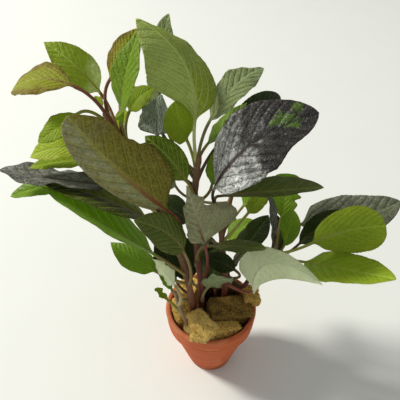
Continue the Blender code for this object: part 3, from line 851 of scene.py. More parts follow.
@dataclass
class TerracottaPot:
    """A small turned pot with a tall collar and a drain hole.

    Rim, collar foot, neck, base, mouth, inner floor and drain are radii. The bead and the groove are
    heights on the collar. Throwing scales the faint lines that the wheel leaves.
    """

    height: float = 55.0
    rim: float = 30.0
    collar_foot: float = 28.6
    collar_height: float = 14.0
    neck: float = 26.8
    base: float = 15.5
    base_rounding: float = 1.5
    lip: float = 1.5
    floor: float = 4.0
    floor_inner: float = 12.6
    mouth: float = 26.8
    drain: float = 5.0
    bevel: tuple[float, float] = (0.5, 0.4)
    collar_rounding: float = 0.7
    bead: float = 44.5
    bead_width: float = 0.45
    bead_rise: float = 0.16
    groove: float = 46.0
    groove_width: float = 0.35
    groove_depth: float = 0.2
    throwing: float = 0.8
    lip_unevenness: float = 0.18
    sides: int = 144
    clay: ClayFinish = ClayFinish()

    def profile(self) -> list[tuple[float, float]]:
        """Trace the pot's outline, from the drain hole out and round to it.

        Returns:
            The radius and height of each of its points.
        """
        collar = self.height - self.collar_height
        out, down = self.bevel
        rows = [(self.drain, down), (self.drain + out, 0.0)]
        rows += self.arc((self.base - self.base_rounding, self.base_rounding), self.base_rounding, -90, -5)
        wall = np.linspace(0.04, 1.0, 34)
        rows += [(self.base + t * (self.neck - self.base), 1.6 + t * (collar - 2.2)) for t in wall]
        rounding = self.collar_rounding
        rows += self.arc((self.collar_foot - rounding, collar + 0.5), rounding, -90, 0)
        lip_height = self.height - self.lip
        outer = self.rim - self.collar_foot
        rise = lip_height - collar - 1.0
        rows += [(self.collar_foot + t * outer, collar + 0.8 + t * rise) for t in np.linspace(0.06, 1.0, 16)]
        rows += self.arc((self.rim - self.lip, lip_height), self.lip, 5, 90)
        rows += self.arc((self.mouth + self.lip, lip_height), self.lip, 95, 180)
        inner, fall = self.floor_inner - self.mouth, self.floor - lip_height
        rows += [(self.mouth + t * inner, lip_height + t * fall) for t in np.linspace(0.03, 1.0, 24)]
        rows += [(self.drain + out, self.floor), (self.drain, self.floor - down)]
        return rows

    def arc(
        self, centre: tuple[float, float], radius: float, start: float, end: float
    ) -> list[tuple[float, float]]:
        """Points on a rounding, between two angles in degrees."""
        angles = np.radians(np.linspace(start, end, 7))
        return [(centre[0] + radius * math.cos(a), centre[1] + radius * math.sin(a)) for a in angles]

    def build(self) -> bpy.types.Object:
        """Turn the pot, with faint throwing lines and an uneven lip.

        Returns:
            The pot.
        """
        shell = Shell()
        rings = []
        for radius, z in self.profile():
            ring = []
            lines = 0.10 * math.sin(z * 2.3) + 0.07 * math.sin(z * 5.1 + 1.0)
            lines += self.bead_rise * math.exp(-(((z - self.bead) / self.bead_width) ** 2))
            lines -= self.groove_depth * math.exp(-(((z - self.groove) / self.groove_width) ** 2))
            for angle in np.linspace(0.0, math.tau, self.sides, endpoint=False):
                wobble = 0.12 * math.sin(2 * angle + 0.7) + 0.07 * math.sin(5 * angle + z * 0.1)
                thrown = radius > self.drain + 1.0 and 2.0 < z < self.height - 1.0
                r = radius + (lines * self.throwing + wobble if thrown else 0.0)
                rise = self.lip_unevenness * math.sin(3 * angle + 0.4) if z > self.height - 5.0 else 0.0
                ring.append((r * math.cos(angle), r * math.sin(angle), min(z + rise, self.height)))
            rings.append(ring)
        shell.add_rings(np.array(rings), closed=True)
        pot = shell.piece("clay_pot", "terracotta_pot", self.clay.material())
        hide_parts("terracotta_pot")
        return pot


# Rock wool


@dataclass(frozen=True)
class Lump:
    """One torn piece of wool: centre, full size and turns about X, Y and Z, in mm and degrees."""

    name: str
    centre: Point
    size: Point
    turn: Point
    finish: Fibre
    fibres: int = 240
    node: bool = True


@dataclass
class RockWool:
    """The torn wool that holds the stems.

    Mouth, wall slope and rim height give the pot's inner wall, and what lies below the rim is drawn in to
    it. Squareness makes the lumps boxy, roughness holds depths and how fine each is, and sink draws the
    skin in to make room for it. A fibre has a point at each part of its length in strand.
    """

    lumps: tuple[Lump, ...] = (
        Lump("wool_front", (-6.8, -18.4, 53.8), (21, 12.5, 19), (-10, 8, -50), Fibre.BRIGHT, 1100),
        Lump("wool_lip", (-8.0, -26.2, 57.4), (11, 6.5, 4.4), (-10, 6, -12), Fibre.BRIGHT, 420, False),
        Lump("wool_front_right", (8.6, -18.0, 51.6), (18, 10.5, 14), (-6, 10, 18), Fibre.DRY, 500),
        Lump("wool_right", (12.0, -4.8, 53.4), (29, 17, 17), (10, 8, 12), Fibre.DAMP, 420),
        Lump("wool_rim", (26.0, 4.4, 59.0), (12, 14, 9.5), (0, 10, 10), Fibre.DRY, 260),
        Lump("wool_left", (-20.6, -4.6, 52.4), (11, 18, 15), (6, 18, 18), Fibre.DRY, 320),
        Lump("wool_left_back", (-14.0, 12.0, 53.0), (16, 15, 17), (0, -10, -24), Fibre.DRY, 240),
        Lump("wool_back", (-1.6, 20.0, 51.6), (15, 10, 14), (0, 6, 0), Fibre.WET, 200),
        Lump("wool_back_right", (13.0, 16.0, 52.0), (14, 11, 14), (0, 0, -38), Fibre.WET, 200),
    )
    squareness: float = 13.0
    roughness: tuple[tuple[float, float], ...] = ((0.8, 0.16), (0.7, 0.45), (0.6, 1.3))
    sink: float = 0.7
    fibre_radius: float = 0.13
    mouth: float = 26.3
    wall_slope: float = 0.287
    rim_height: float = 55.4
    bed_radius: float = 23.6
    bed_height: float = 43.4
    bed_thickness: float = 3.0
    bed_rings: int = 26
    bed_sides: int = 72
    bed_fibres: int = 900
    lump_rows: int = 40
    lump_sides: int = 56
    strand: tuple[float, ...] = (0.0, 0.33, 0.66, 1.0)
    seed: int = 11

    def lump_shell(self, lump: Lump, rng: np.random.Generator) -> Shell:
        """Shape one lump, layered and frayed.

        Args:
            lump: its sizes.
            rng: the source of its fibres.

        Returns:
            The lump with its fibres.
        """
        shell = Shell()
        about_x, about_y, about_z = (
            Matrix.Rotation(math.radians(angle), 3, axis) for angle, axis in zip(lump.turn, "XYZ")
        )
        turn = about_z @ about_y @ about_x
        centre, half = Vector(lump.centre), Vector(lump.size) / 2
        rings = []
        for row in range(self.lump_rows):
            tilt = math.pi * (row + 0.5) / self.lump_rows
            ring = []
            for side in range(self.lump_sides):
                angle = math.tau * side / self.lump_sides
                flat = math.sin(tilt)
                way = Vector((flat * math.cos(angle), flat * math.sin(angle), math.cos(tilt)))
                ring.append(self.surface(way, half, centre, turn))
            rings.append(ring)
        shell.add_rings(np.array(rings))
        for _ in range(lump.fibres):
            shell.add_fibre(self.fibre(half, centre, turn, rng), self.fibre_radius * rng.uniform(0.7, 1.5))
        return shell

    def surface(self, way: Vector, half: Vector, centre: Vector, turn: Matrix, lift: float = 0.0) -> Vector:
        """Find a point on a lump's skin.

        Args:
            way: the direction from its centre, before it is turned.
            half: half its size.
            centre: its centre.
            turn: its turn.
            lift: how far to stand off, in mm.

        Returns:
            The point.
        """
        total = sum(abs(value) ** self.squareness for value in way)
        body = Vector((way[i] * half[i] for i in range(3))) * total ** (-1.0 / self.squareness)
        seat = body + centre
        layers = 0.35 * math.sin(body.z * 2.6 + 2.0 * noise.noise(seat * 0.2))
        rough = sum(depth * noise.noise(seat * fineness) for depth, fineness in self.roughness)
        body += way * (rough + layers + lift - self.sink)
        return self.inside_pot(turn @ body + centre)

    def inside_pot(self, point: Vector) -> Vector:
        """Draw a point below the rim in to the pot's inner wall.

        Args:
            point: the point.

        Returns:
            The point, or its place on the wall.
        """
        radius = math.hypot(point.x, point.y)
        wall = self.mouth - self.wall_slope * (self.rim_height - point.z)
        if point.z > self.rim_height or radius < wall:
            return point
        return Vector((point.x * wall / radius, point.y * wall / radius, point.z))

    def fibre(self, half: Vector, centre: Vector, turn: Matrix, rng: np.random.Generator) -> np.ndarray:
        """Lay one loose fibre over a lump, its ends lifting off.

        Args:
            half: half the lump's size.
            centre: its centre.
            turn: its turn.
            rng: the source of chance.

        Returns:
            The fibre's line.
        """
        way = Vector(rng.normal(size=3))
        drift = Vector(rng.normal(size=3)) * rng.uniform(0.06, 0.26)
        lift = 1.7 * rng.uniform(0.0, 1.0) ** 2
        line = []
        for t in self.strand:
            here = (way.normalized() + drift * t).normalized()
            line.append(self.surface(here, half, centre, turn, 0.05 + lift * t * t))
        return np.array(line)

    def bed_shell(self, rng: np.random.Generator) -> Shell:
        """Shape the bed between the lumps, with its fibres; its soaked finish is dark with painted shade.

        Args:
            rng: the source of chance.

        Returns:
            The bed.
        """
        shell = Shell()
        rings = []
        for radius in np.linspace(self.bed_radius, 0.3, self.bed_rings):
            ring = []
            for angle in np.linspace(0.0, math.tau, self.bed_sides, endpoint=False):
                x, y = radius * math.cos(angle), radius * math.sin(angle)
                seat = Vector((x, y, 0.0))
                rise = 2.2 * noise.noise(seat * 0.14) + 1.2 * noise.noise(seat * 0.4)
                ring.append((x, y, self.bed_height + max(rise, -0.3)))
            rings.append(ring)
        under = [[(x, y, self.bed_height - self.bed_thickness) for x, y, _ in rings[0]]]
        shell.add_rings(np.array(under + rings))
        for _ in range(self.bed_fibres):
            angle = rng.uniform(0.0, math.tau)
            radius = self.bed_radius * math.sqrt(rng.uniform(0.0, 0.92))
            start = np.array([radius * math.cos(angle), radius * math.sin(angle), self.bed_height + 0.8])
            way = rng.normal(size=3) * (1.8, 1.8, 0.5)
            bend = rng.normal(size=3) * (0.8, 0.8, 0.4)
            line = [start + way * t + bend * math.sin(math.pi * t) for t in self.strand]
            shell.add_fibre(np.array(line), self.fibre_radius * 1.2)
        return shell

    def build(self) -> list[bpy.types.Object]:
        """Make the bed and every lump, and give the plug below them the soaked finish, dark with painted
        shade.

        Returns:
            The pieces.
        """
        rng = np.random.default_rng(self.seed)
        materials = {finish: finish.value.material() for finish in Fibre}
        bed = self.bed_shell(rng).piece("wool_bed", "wool_plug", materials[Fibre.SOAKED])
        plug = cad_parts["wool_plug"]
        plug.data.materials.clear()
        plug.data.materials.append(materials[Fibre.SOAKED])
        pieces = [bed]
        for lump in self.lumps:
            slot = lump.name if lump.node else "wool_front"
            piece = self.lump_shell(lump, rng).piece(f"{lump.name}_torn", slot, materials[lump.finish])
            if lump.node:
                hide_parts(lump.name)
            pieces.append(piece)
        return pieces


# Stems


@dataclass(frozen=True)
class Stem:
    """One stem, in mm: its radius, its finish and its centre line above the wool."""

    name: str
    radius: float
    bark: Bark
    points: tuple[Point, ...]


@dataclass
class Stems:
    """The plant's stems, swollen where leaves leave them.

    The foot is a height in the wool. Tip share is the top's radius as a part of the foot's, and rounding
    holds the lengths and radii, as parts of the radius, that close the top.
    """

    stems: tuple[Stem, ...] = (
        Stem("stem_left", 2.2, Bark.RED,
             ((-12, -5, 53), (-14, -6, 81), (-20, -2, 110), (-30, 4, 139), (-42, 8, 166), (-55, 13, 192))),
        Stem("stem_middle", 2.1, Bark.DARK_RED,
             ((-6, -1, 53), (-7, -1, 80), (-10, 1, 120), (-10, 3, 150), (-8, 4, 172))),
        Stem("stem_right", 2.0, Bark.DARK_RED,
             ((9, 6, 53), (9, 4, 75), (6, 3, 110), (2, 1, 142))),
        Stem("stem_far_right", 1.8, Bark.DARK_RED,
             ((14, 8, 42), (18, 9, 54), (25, 8, 71), (34, 5, 89), (42, 3, 103))),
        Stem("stem_front", 1.3, Bark.PALE,
             ((-13, -12, 42), (-16, -16, 58), (-20, -18, 77), (-22, -19, 92))),
        Stem("stem_back", 1.9, Bark.RED,
             ((4, 15, 53), (6, 22, 85), (10, 29, 112), (14, 33, 130))),
    )
    foot: float = 34.0
    tip_share: float = 0.75
    sides: int = 18
    swelling: float = 0.16
    swelling_length: float = 1.5
    rounding: tuple[tuple[float, float], ...] = ((0.45, 0.92), (0.8, 0.7), (1.0, 0.35))

    def line(self, stem: Stem, steps: int = 14) -> np.ndarray:
        """Centre line of a stem from its foot in the wool to its top."""
        x, y, _ = stem.points[0]
        return curve_through([(x, y, self.foot), *stem.points], steps)

    def at(self, name: str, height: float) -> tuple[np.ndarray, np.ndarray, float]:
        """Read a stem at a height.

        Args:
            name: the stem's name.
            height: the height, in mm.

        Returns:
            The axis point, the stem's direction and its radius there.
        """
        stem = next(item for item in self.stems if item.name == name)
        line = self.line(stem)
        here, below = (
            np.array([np.interp(z, line[:, 2], line[:, axis]) for axis in range(3)])
            for z in (height, height - 2.0)
        )
        return here, unit(here - below), self.radius(stem, height)

    def radius(self, stem: Stem, z: float) -> float:
        """Radius of a stem at a height."""
        t = min(max((z - self.foot) / (stem.points[-1][2] - self.foot), 0.0), 1.0)
        return stem.radius * (1.0 + t * (self.tip_share - 1.0))

    def build(self, nodes: dict[str, list[float]]) -> list[bpy.types.Object]:
        """Make every stem.

        Args:
            nodes: the heights at which leaves leave each stem.

        Returns:
            The pieces.
        """
        materials = {bark: bark.value.material() for bark in Bark}
        pieces = []
        for stem in self.stems:
            line = self.line(stem)
            top = stem.points[-1][2]
            radii = []
            for x, y, z in line:
                heights = nodes.get(stem.name, [])
                joints = sum(math.exp(-(((z - node) / self.swelling_length) ** 2)) for node in heights)
                grain = 0.05 * noise.noise(Vector((x, y, z)) * 0.25)
                radii.append(self.radius(stem, z) * (1.0 + self.swelling * min(joints, 1.0) + grain))
            end = unit(line[-1] - line[-2])
            for step, share in self.rounding:
                line = np.vstack([line, line[-1] + end * step * 0.5 * radii[-1]])
                radii.append(share * self.radius(stem, top))
            rings = tube_rings(line, np.array(radii), self.sides)
            marks = np.zeros_like(rings)
            marks[:, :, 0] = np.arange(self.sides) / self.sides
            marks[:, :, 1] = np.linspace(0.0, 1.0, len(line))[:, None]
            shell = Shell()
            shell.add_rings(rings, marks)
            piece = shell.piece(f"{stem.name}_skin", stem.name, materials[stem.bark])
            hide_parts(stem.name)
            pieces.append(piece)
        return pieces


# Leaves

TEETH = 19.0
TOOTH_DEPTH = 0.02


@dataclass(frozen=True)
class Leaf:
    """One leaf with its stalk, in mm and degrees.

    The stalk leaves its stem at a height. The blade runs from base to tip, bowed up by arch and aside
    by sweep as parts of its length, rolled about its midrib and folded up along it. The belly is where
    it is widest, blunt rounds its ends, curl turns its halves down, lean and skew make its halves
    differ. Ripple waves its rim, quilt raises the skin between the veins, and notches are places
    along one half, (part of the length, half, depth, length), where the rim is bitten or turned in.
    """

    name: str
    stem: str
    height: float
    base: Point
    tip: Point
    width: float
    arch: float
    sweep: float
    roll: float
    fold: float
    look: Look
    belly: float = 0.46
    blunt: float = 1.7
    curl: float = 0.1
    lean: float = 0.0
    skew: float = 0.0
    ripple: float = 0.5
    quilt: float = 0.3
    notches: tuple[tuple[float, int, float, float], ...] = ()
    node: bool = True

    def half_width(self, along: float, side: int) -> float:
        """Read the width of one half of the blade.

        Args:
            along: the part of the blade's length.
            side: the half, 1 or -1.

        Returns:
            The width, in mm.
        """
        belly = self.belly + side * self.skew
        rise, fall = self.blunt * belly, self.blunt * (1.0 - belly)
        shape = (along / belly) ** rise * (max(1.0 - along, 0.0) / (1.0 - belly)) ** fall
        width = 0.5 * self.width * (1.0 + side * self.lean) * shape
        for place, half, depth, length in self.notches:
            if half == side:
                width *= 1.0 - depth * math.exp(-(((along - place) / length) ** 2))
        teeth = TOOTH_DEPTH * abs(math.sin(math.pi * along * TEETH + side))
        return width * (1.0 - teeth)

    def midrib(self) -> tuple[np.ndarray, np.ndarray, np.ndarray]:
        """Bow the blade's midrib.

        Returns:
            Its base, the point that it bends towards and its tip.
        """
        base, tip = np.array(self.base, float), np.array(self.tip, float)
        chord = tip - base
        side = unit(np.array([chord[1], -chord[0], 0.0]))
        up = np.cross(side, unit(chord))
        reach = np.linalg.norm(chord)
        return base, (base + tip) / 2 + 2 * reach * (self.arch * up + self.sweep * side), tip


@dataclass
class Foliage:
    """Every leaf of the plant, with what they share, in mm.

    A leaf at least as wide as large gets the large cuts: rows on its stalk, rows on its blade and points
    from rim to rim, which crowd towards the midrib.
    """

    stems: Stems
    stalk_radius: float = 0.85
    foot_swelling: float = 0.55
    foot_depth: float = 0.55
    blade_full: float = 0.12
    waves: tuple[float, float] = (13.0, 31.0)
    skin: float = 0.5
    rim_skin: float = 0.22
    least_half: float = 0.22
    groove_depth: float = 0.22
    groove_width: float = 0.9
    rib_fade: float = 0.75
    rib_spread: float = 1.5
    stalk_bend: float = 0.45
    crowding: float = 1.15
    large: float = 15.5
    large_cuts: tuple[int, int, int] = (12, 60, 27)
    small_cuts: tuple[int, int, int] = (9, 38, 15)

    def stalk(self, leaf: Leaf) -> tuple[np.ndarray, np.ndarray]:
        """Lead a leaf's stalk out of its stem.

        Args:
            leaf: the leaf's sizes.

        Returns:
            The stalk's foot and the point that it bends towards.
        """
        base, control, _ = leaf.midrib()
        axis, way, radius = self.stems.at(leaf.stem, leaf.height)
        bend = base - unit(control - base) * self.stalk_bend * np.linalg.norm(base - axis)
        outward = bend - axis
        outward = unit(outward - way * (outward @ way))
        return axis + outward * radius * self.foot_depth, bend

    def ring(
        self, leaf: Leaf, point: np.ndarray, way: np.ndarray, along: float, rib: float, blend: float,
        across: np.ndarray, length: float, seed: float
    ) -> tuple[np.ndarray, np.ndarray]:
        """Shape one cross-section of a leaf.

        Args:
            leaf: its sizes.
            point: the midrib's point.
            way: the midrib's direction.
            along: the part of the blade's length, below 0 on the stalk.
            rib: the radius of the stalk or midrib.
            blend: 0 where it is round, 1 where it is a thin plate.
            across: places from rim to rim, -1 to 1.
            length: the blade's length.
            seed: what makes this leaf's waves its own.

        Returns:
            The ring's points and their marks.
        """
        side = unit(np.array([way[1], -way[0], 0.0]))
        up = np.cross(side, way)
        roll, fold = math.radians(leaf.roll), math.radians(leaf.fold)
        normal = up * math.cos(roll) + side * math.sin(roll)
        lateral = side * math.cos(roll) - up * math.sin(roll)
        top, bottom, marks = [], [], []
        slow, quick = self.waves
        least = max(rib * (1.0 - along), self.least_half)
        arms = {half: max(leaf.half_width(along, half), least) if along >= 0 else rib for half in (-1, 1)}
        for u in across:
            size = abs(u)
            arm = arms[1 if u > 0 else -1]
            x = arm * u
            reach = abs(x) / length
            path = (along - reach * VEIN_SLOPE - reach * reach * VEIN_CURVE) * VEIN_PAIRS
            bulge = math.sin(math.pi * (path % 1.0)) ** 0.7 - 0.5
            fade = smooth(0.02, 0.2, along) * (1.0 - smooth(0.85, 1.0, along)) * smooth(0.0, 0.25, size)
            quilt = leaf.quilt * bulge * fade * (1.0 - 0.6 * size)
            wave = math.sin(along * slow + seed * 2.1 + (2.0 if u > 0 else 0.0))
            wave += 0.5 * math.sin(along * quick + seed)
            wave *= leaf.ripple * size**3 * math.sin(math.pi * min(max(along, 0.0), 1.0)) ** 0.5
            groove = -self.groove_depth * math.exp(-((x / self.groove_width) ** 2)) * smooth(0.0, 0.1, along)
            lift = arm * (size * math.sin(fold) - leaf.curl * u * u) + quilt + wave
            flat = point + lateral * x * math.cos(fold) + normal * lift
            half_skin = 0.5 * (self.skin + size * (self.rim_skin - self.skin))
            below = half_skin + (rib - half_skin) * max(0.0, 1.0 - abs(x) / (self.rib_spread * rib)) ** 0.7
            angle = u * 0.5 * math.pi
            round_at = lateral * rib * math.sin(angle)
            for points, sign, thick in ((top, 1.0, half_skin + groove), (bottom, -1.0, below)):
                plate = flat + normal * sign * thick
                circle = point + round_at + normal * sign * rib * math.cos(angle)
                points.append(circle + blend * (plate - circle))
            marks.append((x / length, along, 1.0 + size))
        marks = np.array(marks)
        return np.array(top + bottom[::-1]), np.vstack([marks, marks[::-1] * (1.0, 1.0, -1.0)])

    def shell(self, leaf: Leaf, seed: float) -> Shell:
        """Shape one leaf, stalk and blade in one skin.

        Args:
            leaf: its sizes.
            seed: what makes its waves its own.

        Returns:
            The leaf.
        """
        large = leaf.width >= self.large
        stalk_rows, blade_rows, count = self.large_cuts if large else self.small_cuts
        spread = np.linspace(-1.0, 1.0, count)
        across = np.sign(spread) * np.abs(spread) ** self.crowding
        foot, bend = self.stalk(leaf)
        base, control, tip = leaf.midrib()
        length = float(np.linalg.norm(tip - base))
        stalk_length = float(np.linalg.norm(base - foot))
        sections = []
        for t in np.linspace(0.0, 1.0, stalk_rows, endpoint=False):
            radius = self.stalk_radius * (1.0 + self.foot_swelling * (1.0 - t) ** 6)
            along = -(1.0 - t) * stalk_length / length - 0.05
            sections.append((*bezier(foot, bend, base, t), along, radius, 0.0))
        for t in np.linspace(0.0, 1.0, blade_rows):
            rib = self.stalk_radius * self.rib_fade * (1.0 - t) ** 1.3 + 0.2
            rib = rib + (self.stalk_radius - rib) * (1.0 - smooth(0.0, 0.1, t))
            blend = float(smooth(0.0, self.blade_full, t))
            sections.append((*bezier(base, control, tip, t), t, rib, blend))
        cuts = [self.ring(leaf, *section, across, length, seed) for section in sections]
        shell = Shell()
        shell.add_rings(np.array([points for points, _ in cuts]), np.array([marks for _, marks in cuts]))
        return shell

    def build(self, leaves: tuple[Leaf, ...]) -> list[bpy.types.Object]:
        """Make every leaf.

        Args:
            leaves: the leaves' sizes.

        Returns:
            The pieces.
        """
        materials = {look: look.value.material(look.name) for look in Look}
        pieces = []
        for index, leaf in enumerate(leaves):
            slot = leaf.name if leaf.node else SMALL_SLOTS[leaf.look]
            piece = self.shell(leaf, float(index)).piece(f"{leaf.name}_blade", slot, materials[leaf.look])
            if leaf.node:
                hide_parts(leaf.name)
            pieces.append(piece)
        return pieces


# Names of the record's material slots for the small leaves that are not its nodes, by
# finish. The small leaves past the limit of nodes
SMALL_SLOTS = {
    Look.FRESH: "leaf_mid_small",
    Look.BRIGHT: "leaf_mid_upright",
    Look.YELLOW: "leaf_left_hanging",
    Look.GREY: "leaf_top_right",
    Look.DARK: "leaf_inner_dark",
    Look.WITHERED: "leaf_withered_left",
}


def inner_leaf(
    name: str, stem: str, height: float, base: Point, tip: Point, width: float, roll: float,
    look: Look = Look.DARK
) -> Leaf:
    """Describe one of the leaves that close the middle of the plant, by default nearly black-green as
    painted shade.
    """
    return Leaf(f"leaf_deep_{name}", stem, height, base, tip, width, 0.06, 0.0, roll, 10, look, node=False)


